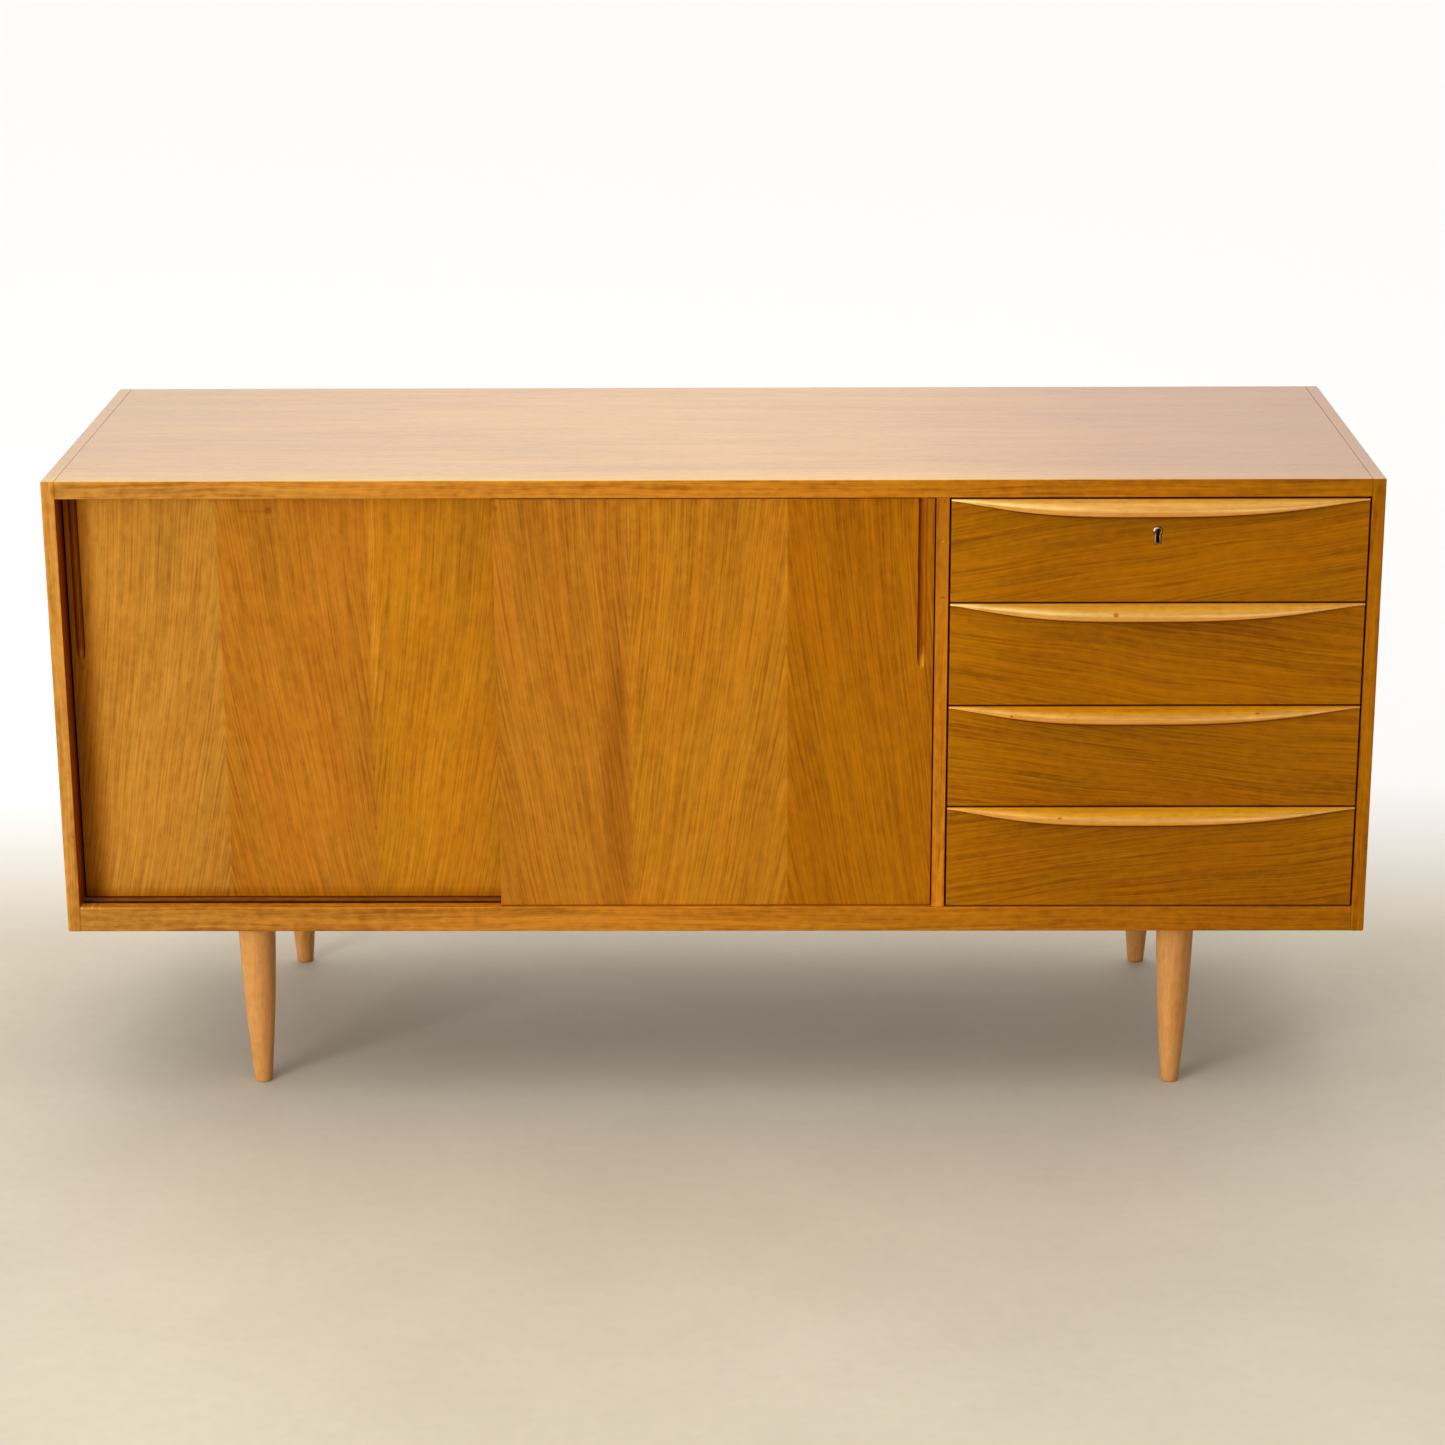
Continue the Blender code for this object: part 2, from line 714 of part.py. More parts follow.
def cut_for_lock(front, top_z):
    """The lock's pocket, the keyhole and the recess of its brass ring in the top front."""
    back = DRAWER_INSET + DRAWER_FRONT_THICK
    pocket = bmesh.new()
    board(
        pocket,
        (LOCK_X - LOCK_HALF_WIDTH, LOCK_X + LOCK_HALF_WIDTH),
        (back - LOCK_POCKET_DEPTH, back + OVERCUT),
        (top_z - LOCK_HEIGHT, top_z + OVERCUT),
    )
    cut(front, "lock_pocket", pocket)
    key_z = top_z - KEY_DROP
    keyhole = bmesh.new()
    loft(keyhole, along_y(keyhole_outline(key_z, KEYHOLE), 0, back - LOCK_POCKET_DEPTH / 2))
    cut(front, "keyhole", keyhole)
    recess = bmesh.new()
    depth = DRAWER_INSET + PLATE_SUNK + JOINT_GAP
    loft(recess, along_y(keyhole_outline(key_z, PLATE, grow=JOINT_GAP), 0, depth))
    cut(front, "plate_recess", recess)


def add_drawer_box(name, low_z, slide, material, bottom_material):
    """The two sides, the back and the bottom of one drawer."""
    box_low = low_z + BOX_FOOT
    inner_left, inner_right = DRAWER_LEFT + BOX_THICK, DRAWER_RIGHT - BOX_THICK
    add_drawer_side(f"{name}_side_left", DRAWER_LEFT, inner_left, box_low, slide, material)
    add_drawer_side(f"{name}_side_right", DRAWER_RIGHT, inner_right, box_low, slide, material)
    bottom_low = box_low + BOTTOM_RISE + JOINT_GAP
    bottom_high = bottom_low + BOTTOM_THICK
    tuck = BOTTOM_GROOVE - JOINT_GAP
    add_board(
        f"{name}_bottom",
        (inner_left - tuck, inner_right + tuck),
        (DRAWER_INSET + DRAWER_FRONT_THICK - tuck, BOTTOM_END),
        (bottom_low, bottom_high),
        bottom_material,
        parent=slide,
    )
    back_low = bottom_high + JOINT_GAP
    add_board(
        f"{name}_back",
        (inner_left - DADO_DEPTH, inner_right + DADO_DEPTH),
        (DRAWER_BACK_START, DRAWER_BACK_START + BOX_THICK),
        (back_low, back_low + DRAWER_BACK_HEIGHT),
        material,
        parent=slide,
    )


def add_runners(name, low_z, material):
    """The two runners, fixed to the bay's walls, that one drawer hangs on."""
    axis = low_z + BOX_FOOT + RUNNER_RISE
    walls = (("left", BAY_LEFT, 1), ("right", INNER, -1))
    for side, wall, inward in walls:
        add_board(
            f"{name}_runner_{side}",
            sorted((wall + inward * JOINT_GAP, wall + inward * RUNNER_PROUD)),
            (RUNNER_FRONT, RUNNER_BACK),
            (axis - RUNNER_HALF, axis + RUNNER_HALF),
            material,
        )


def add_lock(top_z, slide, steel, brass):
    """The lock case, its bolt on a slide of its own, and the brass ring round the keyhole."""
    key_z = top_z - KEY_DROP
    back = DRAWER_INSET + DRAWER_FRONT_THICK
    case_front = back - LOCK_POCKET_DEPTH + JOINT_GAP
    bm = bmesh.new()
    half = LOCK_HALF_WIDTH - JOINT_GAP
    board(
        bm,
        (LOCK_X - half, LOCK_X + half),
        (case_front, back - JOINT_GAP),
        (top_z - LOCK_HEIGHT + JOINT_GAP, top_z - JOINT_GAP),
    )
    case = add("lock_case", bm, steel, parent=slide)
    bolt_low = top_z - BOLT_TOP_GAP - BOLT_LENGTH
    channel = bmesh.new()
    board(
        channel,
        (LOCK_X - BOLT_HALF_WIDTH - BOLT_PLAY, LOCK_X + BOLT_HALF_WIDTH + BOLT_PLAY),
        (BOLT_SETBACK - BOLT_PLAY, BOLT_SETBACK + BOLT_THICK + BOLT_PLAY),
        (bolt_low - JOINT_GAP, top_z + OVERCUT),
    )
    cut(case, "bolt_channel", channel)
    recess = bmesh.new()
    loft(recess, along_y(keyhole_outline(key_z, KEYHOLE), 0, case_front + KEY_RECESS))
    cut(case, "key_recess", recess)
    bolt_slide = empty("lock_bolt_slide", (LOCK_X, y_at(BOLT_SETBACK + BOLT_THICK / 2), bolt_low))
    add_board(
        "lock_bolt",
        (LOCK_X - BOLT_HALF_WIDTH, LOCK_X + BOLT_HALF_WIDTH),
        (BOLT_SETBACK, BOLT_SETBACK + BOLT_THICK),
        (bolt_low, bolt_low + BOLT_LENGTH),
        steel,
        parent=bolt_slide,
    )
    ring = bmesh.new()
    span = (DRAWER_INSET - PLATE_PROUD, DRAWER_INSET + PLATE_SUNK)
    loft(ring, along_y(keyhole_outline(key_z, PLATE), *span))
    plate = add("key_escutcheon", ring, brass, parent=slide, smooth=True)
    hole = bmesh.new()
    loft(hole, along_y(keyhole_outline(key_z, KEYHOLE), span[0] - OVERCUT, span[1] + OVERCUT))
    cut(plate, "keyhole", hole)


def add_drawers(front_wood, pull_wood, box_wood, bottom_ply, runner_wood, steel, brass):
    """Four equal drawers, numbered from the top, each on a slide that runs along Y."""
    middle_x = (DRAWER_LEFT + DRAWER_RIGHT) / 2
    for number in range(1, DRAWER_COUNT + 1):
        name = f"drawer_{number}"
        low_z = CEILING - number * (FRONT_HEIGHT + REVEAL)
        high_z = low_z + FRONT_HEIGHT
        axis_z = low_z + BOX_FOOT + RUNNER_RISE
        slide = empty(f"{name}_slide", (middle_x, y_at(DRAWER_INSET), axis_z))
        add_drawer_front(f"{name}_front", low_z, slide, front_wood, has_lock=number == 1)
        add_pull(f"{name}_pull", high_z, slide, pull_wood)
        add_drawer_box(name, low_z, slide, box_wood, bottom_ply)
        add_runners(name, low_z, runner_wood)
        if number == 1:
            add_lock(high_z, slide, steel, brass)


def main():
    for old in list(bpy.data.objects):
        bpy.data.objects.remove(old, do_unlink=True)

    carcass_wood = finish("carcass_wood", (0.50, 0.23, 0.045), 0.32)
    door_veneer = finish("door_veneer", (0.47, 0.19, 0.03), 0.30)
    drawer_veneer = finish("drawer_veneer", (0.33, 0.12, 0.012), 0.30)
    pull_wood = finish("pull_wood", (0.68, 0.36, 0.07), 0.25)
    leg_wood = finish("leg_wood", (0.58, 0.31, 0.12), 0.45)
    box_wood = finish("drawer_box_wood", (0.62, 0.42, 0.22), 0.55)
    plywood = finish("back_plywood", (0.50, 0.32, 0.16), 0.65)
    brass = finish("brass", (0.72, 0.52, 0.20), 0.28, metallic=1.0)
    steel = finish("lock_steel", (0.45, 0.44, 0.42), 0.40, metallic=1.0)

    add_side_panel("side_panel_left", -1, carcass_wood)
    add_side_panel("side_panel_right", 1, carcass_wood)
    add_top_panel(carcass_wood)
    add_base(carcass_wood, box_wood)
    add_divider(carcass_wood)
    add_back(plywood)
    add_shelf(carcass_wood, brass)
    add_legs(leg_wood)
    add_doors(door_veneer)
    add_drawers(drawer_veneer, pull_wood, box_wood, plywood, box_wood, steel, brass)


main()
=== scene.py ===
import math

import bmesh
import bpy
from mathutils import Matrix, Vector


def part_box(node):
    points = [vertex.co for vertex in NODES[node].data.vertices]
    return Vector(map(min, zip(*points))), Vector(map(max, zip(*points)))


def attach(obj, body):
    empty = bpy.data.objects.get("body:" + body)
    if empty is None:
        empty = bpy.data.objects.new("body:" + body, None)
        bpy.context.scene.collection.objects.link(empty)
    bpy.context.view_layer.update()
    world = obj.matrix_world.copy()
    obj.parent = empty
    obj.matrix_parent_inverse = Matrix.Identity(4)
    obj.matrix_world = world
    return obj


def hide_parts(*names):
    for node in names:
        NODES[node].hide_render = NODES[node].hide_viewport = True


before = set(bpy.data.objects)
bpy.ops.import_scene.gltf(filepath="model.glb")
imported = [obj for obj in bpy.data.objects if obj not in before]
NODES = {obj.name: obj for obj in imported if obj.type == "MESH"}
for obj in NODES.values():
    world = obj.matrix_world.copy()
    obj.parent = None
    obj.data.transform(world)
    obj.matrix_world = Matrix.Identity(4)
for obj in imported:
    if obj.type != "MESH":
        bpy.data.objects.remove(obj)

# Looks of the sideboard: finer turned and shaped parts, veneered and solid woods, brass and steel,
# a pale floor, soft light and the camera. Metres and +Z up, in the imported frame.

bpy.context.view_layer.update()

# ---------------------------------------------------------------- node materials


class Nodes:
    """A node tree under construction: its methods add nodes and return an output socket."""

    def __init__(self, tree):
        self.nodes = tree.nodes
        self.links = tree.links

    def feed(self, socket, value):
        """Links an output, or sets a constant, on an input."""
        if isinstance(value, bpy.types.NodeSocket):
            self.links.new(value, socket)
        else:
            socket.default_value = value

    def axes(self, vector):
        """The X, Y and Z of a vector, as three outputs."""
        parts = self.nodes.new("ShaderNodeSeparateXYZ")
        self.links.new(vector, parts.inputs[0])
        return tuple(parts.outputs)

    def math(self, operation, *values, clamp=False):
        node = self.nodes.new("ShaderNodeMath")
        node.operation = operation
        node.use_clamp = clamp
        for socket, value in zip(node.inputs, values):
            self.feed(socket, value)
        return node.outputs[0]

    def times(self, first, second):
        return self.math("MULTIPLY", first, second)

    def plus(self, first, second):
        return self.math("ADD", first, second)

    def inverse(self, value):
        """1 less the value."""
        return self.math("SUBTRACT", 1.0, value)

    def off(self, value, middle):
        """How far the value is from the middle, either way."""
        return self.math("ABSOLUTE", self.plus(value, -middle))

    def spread(self, value, low, high, start=0.0):
        """Value mapped from low..high onto start..1, clamped."""
        node = self.nodes.new("ShaderNodeMapRange")
        self.feed(node.inputs["Value"], value)
        node.inputs["From Min"].default_value = low
        node.inputs["From Max"].default_value = high
        node.inputs["To Min"].default_value = start
        return node.outputs[0]


class Shader(Nodes):
    """A node material under construction."""

    def __init__(self, name):
        self.material = bpy.data.materials.new(name)
        self.material.use_nodes = True
        super().__init__(self.material.node_tree)
        self.nodes.clear()
        self.surface = self.nodes.new("ShaderNodeBsdfPrincipled")
        output = self.nodes.new("ShaderNodeOutputMaterial")
        self.links.new(self.surface.outputs[0], output.inputs["Surface"])
        self.x, self.y, self.z = self.axes(self.nodes.new("ShaderNodeTexCoord").outputs["Object"])

    def upward(self):
        """How far the surface faces up: the Z of its normal, -1 to 1."""
        return self.axes(self.nodes.new("ShaderNodeNewGeometry").outputs["Normal"])[2]

    def spot(self, centre, size):
        """1 at an (x, z) centre, fading to 0 at an ellipse of these half sizes."""
        across, up = (
            self.math("DIVIDE", self.plus(value, -middle), half)
            for value, middle, half in zip((self.x, self.z), centre, size)
        )
        out = self.plus(self.times(across, across), self.times(up, up))
        return self.inverse(self.spread(out, 0.15, 1.0))

    def blend_of(self, *terms):
        """The sum of value * weight over (value, weight) pairs."""
        total = None
        for value, weight in terms:
            term = self.times(value, weight)
            total = term if total is None else self.plus(total, term)
        return total

    def noise(self, across, through, along, detail=2.0, rough=0.5):
        """Noise whose three coordinates are already scaled; about 0.5 on average."""
        point = self.nodes.new("ShaderNodeCombineXYZ")
        for socket, value in zip(point.inputs, (across, through, along)):
            self.feed(socket, value)
        node = self.nodes.new("ShaderNodeTexNoise")
        node.inputs["Scale"].default_value = 1.0
        node.inputs["Detail"].default_value = detail
        node.inputs["Roughness"].default_value = rough
        self.links.new(point.outputs[0], node.inputs["Vector"])
        return node.outputs["Fac"]

    def swing(self, noise):
        """Noise brought to about 0 on average."""
        return self.plus(noise, -0.5)

    def cloud(self, scales, detail=2.0):
        """Noise over the object's coordinates, times a scale for each axis."""
        coordinates = zip((self.x, self.y, self.z), scales)
        return self.noise(*(self.times(place, scale) for place, scale in coordinates), detail)

    def ramp(self, value, stops, interpolation="LINEAR"):
        """Colour from (position, colour) stops."""
        node = self.nodes.new("ShaderNodeValToRGB")
        node.color_ramp.interpolation = interpolation
        elements = node.color_ramp.elements
        while len(elements) < len(stops):
            elements.new(1.0)
        for element, (position, colour) in zip(elements, stops):
            element.position = position
            element.color = (*colour, 1.0)
        self.feed(node.inputs[0], value)
        return node.outputs[0]

    def mix(self, factor, first, second, blend="MIX"):
        node = self.nodes.new("ShaderNodeMix")
        node.data_type = "RGBA"
        node.blend_type = blend
        self.feed(node.inputs[0], factor)
        for socket, colour in ((node.inputs[6], first), (node.inputs[7], second)):
            linked = isinstance(colour, bpy.types.NodeSocket)
            self.feed(socket, colour if linked else (*colour, 1.0))
        return node.outputs[2]

    def tinted(self, colour, tint):
        return self.mix(1.0, colour, tint, "MULTIPLY")

    def marked(self, colour, marks):
        """The colour with marks on it, each a (centre, size, colour): see spot."""
        for centre, size, mark in marks:
            colour = self.mix(self.spot(centre, size), colour, mark)
        return colour

    def bump(self, height, distance, strength):
        node = self.nodes.new("ShaderNodeBump")
        node.inputs["Strength"].default_value = strength
        node.inputs["Distance"].default_value = distance
        self.feed(node.inputs["Height"], height)
        self.links.new(node.outputs[0], self.surface.inputs["Normal"])

    def set(self, **values):
        """Inputs of the surface shader, by name with _ for a space."""
        for name, value in values.items():
            self.feed(self.surface.inputs[name.replace("_", " ")], value)


def srgb(red, green, blue):
    """Linear colour from 0..255 display values."""
    linear = []
    for value in (red, green, blue):
        share = value / 255
        linear.append(share / 12.92 if share <= 0.04045 else ((share + 0.055) / 1.055) ** 2.4)
    return tuple(linear)


def scaled(colour, *factors):
    """The colour with its channels multiplied."""
    factors = factors * 3 if len(factors) == 1 else factors
    return tuple(c * f for c, f in zip(colour, factors))


WHITE = (1.0, 1.0, 1.0)
# The tint of wood's reflections
WARM = (1.0, 0.60, 0.10, 1.0)
WOOD_IOR = 1.5
# What the darkest and the lightest of a wood's figure multiply its tone by, and its drift of hue
FIGURE_DARK, FIGURE_LIGHT = (0.62, 0.52, 0.40), (1.30, 1.38, 1.60)
HUES = ((0.35, (1.02, 0.98, 0.93)), (0.65, (0.98, 1.02, 1.0)))


def finish_wood(shader, across, through, along, tone, look, tints=(), calm=None):
    """Colour, roughness and relief of a wooden surface.

    The coordinates are in metres: along the grain, across it and through it. Tone is the mean
    colour, tints multiply it in turn, and calm, 0 to 1, is how far the figure fades out.
    """

    def figure(wide, deep, long, detail=2.0):
        """Noise with these frequencies per metre across, through and along the grain."""
        axes = ((across, wide), (through, deep), (along, long))
        return shader.noise(*(shader.times(place, scale) for place, scale in axes), detail)

    broad = figure(11.0, 9.0, 2.0)
    band = figure(look["bands"], 30.0, 3.5, 3.0)
    streak = figure(look["bands"] * 3.2, 200.0, 7.0 * look["short"], 3.0)
    fine = figure(look["bands"] * 9, 500.0, 20.0 * look["short"])
    mottle = figure(130.0, 130.0, 75.0, 3.0)
    hue = figure(40.0, 30.0, 5.0)
    pores = shader.spread(figure(1500.0, 1500.0, 75.0 * look["short"], 1.0), 0.60, 0.72)
    value = shader.blend_of(
        (shader.swing(broad), look["broad"]),
        (shader.swing(band), look["band"]),
        (shader.swing(streak), look["streak"]),
        (shader.swing(fine), look["fine"]),
        (shader.swing(mottle), look["mottle"]),
        (pores, -look["pores"]),
    )
    value = shader.math("ADD", value, 0.5, clamp=True)
    dark, light = scaled(tone, *FIGURE_DARK), scaled(tone, *FIGURE_LIGHT)
    colour = shader.ramp(value, ((0.0, dark), (0.5, tone), (1.0, light)))
    colour = shader.tinted(colour, shader.ramp(hue, HUES))
    if calm is not None:
        colour = shader.mix(calm, colour, tone)
    for tint in tints:
        colour = shader.tinted(colour, tint)
    roughness = shader.blend_of((mottle, 0.10), (fine, 0.08), (pores, 0.16))
    shader.set(
        Base_Color=colour,
        Roughness=shader.plus(roughness, look["roughness"]),
        Specular_Tint=WARM,
        IOR=WOOD_IOR,
    )
    shader.bump(shader.blend_of((streak, 0.25), (fine, 0.30), (pores, -0.45)), 0.00035, 0.5)


# Looks of wood: bands is how many there are to a metre across the grain, short shortens the finer
# figure along it, roughness is the least, and the rest are how strongly each figure shows
VENEER = {
    "bands": 58.0, "broad": 0.65, "band": 0.38, "streak": 0.50, "fine": 1.65, "mottle": 0.75,
    "pores": 0.14, "roughness": 0.26, "short": 0.45,
}
FIGURED = dict(VENEER, bands=46.0, broad=0.80, band=0.70, streak=0.90, fine=1.80, mottle=0.80)
PLY = dict(VENEER, bands=44.0, band=0.42, streak=0.50, fine=0.80, mottle=0.45)
SOLID = {
    "bands": 90.0, "broad": 1.00, "band": 1.15, "streak": 1.35, "fine": 1.10, "mottle": 1.15,
    "pores": 0.16, "roughness": 0.28, "short": 1.0,
}
PALE = {
    "bands": 80.0, "broad": 0.45, "band": 0.50, "streak": 0.50, "fine": 0.45, "mottle": 0.50,
    "pores": 0.16, "roughness": 0.40, "short": 1.0,
}
GLOSSY = dict(PALE, roughness=0.20)


def plain_wood(name, grain, tone, look, lean=0.0, wave=0.0, tint=None, calm=None, coat=None):
    """A wood whose grain runs along one axis, with a slight lean and wave across its face.

    Lean is the grain's slope, and wave how many metres it wanders from side to side at the most.
    Tint and calm are functions that add nodes to the shader: see finish_wood. Coat is the (height,
    weight) of a thick lacquer that covers whatever is above that height.
    """
    shader = Shader(name)
    across, through, along = {
        "X": (shader.z, shader.y, shader.x),
        "Y": (shader.z, shader.x, shader.y),
        "Z": (shader.x, shader.y, shader.z),
    }[grain]
    if grain != "X":
        across = shader.plus(across, through)
    drift = shader.noise(
        shader.times(across, 4.0), shader.times(through, 4.0), shader.times(along, 3.2), 1.0
    )
    leaned = shader.blend_of((across, 1.0), (along, -lean), (shader.swing(drift), wave))
    tints = tint(shader) if tint else ()
    finish_wood(shader, leaned, through, along, tone, look, tints, calm(shader) if calm else None)
    if coat:
        height, weight = coat
        above = shader.spread(shader.z, height - 0.0007, height)
        shader.set(Coat_Weight=shader.times(above, weight), Coat_Roughness=0.22)
    return shader.material


# The fan of a veneer leaf's grain: the height it turns about, its lean there beside the joint, and
# what the lean gains with each metre outward and upward
FAN_MIDDLE, FAN_LEAN, FAN_OUTWARD, FAN_UPWARD = 0.48, 0.185, -0.5, -0.16
LEAF_WAVE = 0.012
DOOR_TONE = srgb(198, 126, 34)
# A line of paler wood: how it fades with the distance from it, and how it grows with height
GLOW = (0.88, 0.90, 0.72)
GLOW_FADE, GLOW_GROWTH = (0.001, 0.007), (0.36, 0.56)
# Width of the painted shadow of the side panel along a door's left edge
SIDE_SHADOW_WIDTH = 0.036
GROOVE_HALF_WIDTH = 0.0053
GROOVE_FOOT = 0.524
# The painted highlight at a finger groove's foot
GROOVE_FOOT_HIGHLIGHT = (1.40, 1.95, 13.0)


def leaf_figure(shader, joint, leaf):
    """The coordinate across the grain of book-matched leaves, which fans out and wavers."""
    out = shader.math("PINGPONG", shader.plus(shader.x, -joint), leaf)
    rise = shader.plus(shader.z, -FAN_MIDDLE)
    lean = shader.plus(shader.blend_of((out, FAN_OUTWARD), (rise, FAN_UPWARD)), FAN_LEAN)
    across = shader.plus(out, shader.times(rise, lean))
    drift = shader.noise(shader.times(out, 7.0), 0.0, shader.times(shader.z, 4.0), 1.0)
    return shader.plus(across, shader.times(shader.swing(drift), LEAF_WAVE))


def leaf_tints(shader, node, joint, leaf, tones):
    """Each leaf's own tone, from left to right."""
    low, high = (corner.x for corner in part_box(node))
    joints = (joint + leaf * step for step in range(-3, 4))
    edges = [low] + [edge for edge in joints if low < edge < high]
    stops = [((edge - low) / (high - low), tone) for edge, tone in zip(edges, tones)]
    return shader.ramp(shader.spread(shader.x, low, high), stops, "CONSTANT")


def groove_tints(shader, middle, face, tones):
    """Painted shade and light across a finger groove in a door's face, and a painted highlight at
    the groove's foot.
    """
    inside = shader.spread(shader.y, face + 0.0001, face + 0.0006)
    above_foot = shader.spread(shader.z, GROOVE_FOOT + 0.002, GROOVE_FOOT + 0.006)
    inside = shader.times(inside, above_foot)
    aside = shader.off(shader.x, middle)
    beyond = shader.spread(aside, GROOVE_HALF_WIDTH + 0.0001, GROOVE_HALF_WIDTH + 0.0007)
    inside = shader.times(inside, shader.inverse(beyond))
    place = shader.spread(shader.x, middle - GROOVE_HALF_WIDTH, middle + GROOVE_HALF_WIDTH)
    hollow = shader.mix(inside, WHITE, shader.ramp(place, tones))
    # A painted highlight at the groove's foot
    foot_highlight = shader.spot((middle + 0.0004, GROOVE_FOOT + 0.0070), (0.0028, 0.0100))
    return shader.mix(shader.times(foot_highlight, 0.9), hollow, GROOVE_FOOT_HIGHLIGHT)


def door_veneer(node, joint, leaf, tones, glow, groove, side_shadow, marks):
    """Book-matched leaves of veneer on a door: the grain mirrors at each joint between them.

    The leaves meet at joint and every leaf width from it, and tones are theirs from left to right.
    Glow is the X and strength of a thin line of paler wood, and groove the finger groove's middle
    X, face Y and the painted shade and light across it. After it comes the tone of a painted
    shadow, cast by the side panel along the door's left edge. Marks are the knots and shades, as
    (centre, size, tint).
    """
    shader = Shader(f"{node}_veneer")
    across = leaf_figure(shader, joint, leaf)
    tint = leaf_tints(shader, node, joint, leaf, tones)
    glow_x, strength = glow
    paler = shader.inverse(shader.spread(shader.off(shader.x, glow_x), *GLOW_FADE))
    paler = shader.times(paler, shader.spread(shader.z, *GLOW_GROWTH))
    tint = shader.mix(shader.times(paler, strength), tint, GLOW)
    tint = shader.marked(tint, marks)
    hollow = groove_tints(shader, *groove)
    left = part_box(node)[0].x
    # Painted shadow of the side panel along the door's left edge
    from_edge = shader.spread(shader.x, left, left + SIDE_SHADOW_WIDTH)
    edge = shader.ramp(from_edge, ((0.0, side_shadow), (0.45, side_shadow), (1.0, WHITE)))
    finish_wood(shader, across, shader.y, shader.z, DOOR_TONE, VENEER, (tint, hollow, edge))
    return shader.material


def arris_wear_and_shade(name, tone):
    """The rounded arris of a board, darker and redder than the faces beside it as painted shade at
    the edges and in the gaps between parts, with paler, duller spots that are worn finish and
    painted highlights along the arris.
    """
    shader = Shader(name)
    spots = shader.cloud((300.0, 300.0, 300.0), 3.0)
    rubs_and_highlights = shader.cloud((16.0, 16.0, 16.0))
    amount = shader.plus(shader.times(spots, 0.55), shader.times(rubs_and_highlights, 0.75))
    amount = shader.spread(amount, 0.42, 0.88)
    colour = shader.mix(amount, scaled(tone, 0.80), scaled(tone, 1.35, 1.45, 1.8))
    shader.set(
        Base_Color=colour,
        Roughness=shader.plus(shader.times(amount, 0.25), 0.30),
        Specular_Tint=WARM,
        IOR=WOOD_IOR,
    )
    shader.bump(spots, 0.0002, 0.4)
    return shader.material


def metal(name, tone, roughness, tarnish, face=None, rubs_and_highlights=()):
    """Metal with fine scratches and cloudy tarnish.

    Behind the face's Y it is painted near black, as shade down in the keyhole. Its other marks are
    painted highlights, as (centre, size, tone): pale spots where a polished rim would catch the
    light.
    """
    shader = Shader(name)
    cloud = shader.cloud((160.0, 160.0, 160.0), 4.0)
    scratch = shader.cloud((300.0, 3000.0, 4200.0), 1.0)
    shade = shader.spread(cloud, 0.40, 0.68)
    colour = shader.mix(shade, tone, tarnish)
    # Painted highlights: pale spots on the ring
    colour = shader.marked(colour, rubs_and_highlights)
    # Painted shade: near black behind the face, down in the keyhole
    if face is not None:
        behind = shader.spread(shader.y, face + 0.00015, face + 0.0005)
        colour = shader.mix(behind, colour, (0.02, 0.012, 0.006))
    shader.set(
        Base_Color=colour,
        Metallic=1.0,
        Roughness=shader.blend_of((shade, 0.22), (scratch, 0.12), (cloud, roughness)),
    )
    shader.bump(scratch, 0.00005, 0.5)
    return shader.material


# ---------------------------------------------------------------- finishes

CARCASS = srgb(196, 124, 42)
# From left to right across the carcass: paler on the left, deeper and redder to the right, partly
# the wood's tone and partly painted light falling off away from the left
CARCASS_TONE_AND_LIGHT = (
    (0.0, (0.78, 0.88, 1.22)),
    (0.45, (0.84, 0.80, 0.48)),
    (0.68, (0.76, 0.68, 0.18)),
    (1.0, (0.58, 0.48, 0.01)),
)
# Painted light and reflection on the upper face, from left to right: paler, brightest left of the
# middle and darker to the right
TOP_PAINTED_LIGHT = (
    (0.0, (0.95, 1.20, 1.7)),
    (0.28, (1.08, 1.40, 2.8)),
    (0.50, (1.14, 1.48, 3.2)),
    (0.65, (1.07, 1.32, 2.4)),
    (0.82, (0.82, 0.86, 1.0)),
    (1.0, (0.70, 0.66, 0.3)),
)
# Painted shade on the inner faces, by depth behind the front as a share of 80 mm: red-brown,
# darkest about where the recessed door's face stands
INSIDE_PAINTED_SHADE = (
    (0.006, WHITE),
    (0.025, (0.95, 0.42, 0.12)),
    (0.30, (0.62, 0.26, 0.06)),
    (0.42, (0.42, 0.12, 0.03)),
    (0.62, (0.82, 0.60, 0.38)),
    (0.85, (1.0, 0.90, 0.80)),
)
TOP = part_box("top_panel")[1].z
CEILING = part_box("top_panel")[0].z
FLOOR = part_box("bottom_panel")[1].z
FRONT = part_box("top_panel")[0].y
SIDE_INSIDE, HALF_WIDTH = (corner.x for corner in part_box("side_panel_right"))
DRAWER_LEFT, DRAWER_RIGHT = (corner.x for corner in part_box("drawer_1_front"))
DRAWER_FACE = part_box("drawer_1_front")[0].y

# Small marks, each a (centre, size, tint): see Shader.spot
TOP_PATCH = (((-0.7352, 0.7325), (0.0045, 0.0090), (0.56, 0.50, 0.45)),)
DIVIDER_MARKS = (
    ((0.2579, 0.6729), (0.0011, 0.0019), (1.25, 1.70, 2.6)),
    ((0.2585, 0.6080), (0.0040, 0.0013), (0.50, 0.30, 0.12)),
)
RAIL_CHIPS = tuple(
    ((place, FLOOR), (width, 0.0016), (1.5, 1.8, 3.6))
    for place, width in ((-0.7325, 0.0016), (-0.7205, 0.0012), (-0.7125, 0.0010))
)
FLECK = (0.62, 0.36, 0.16)


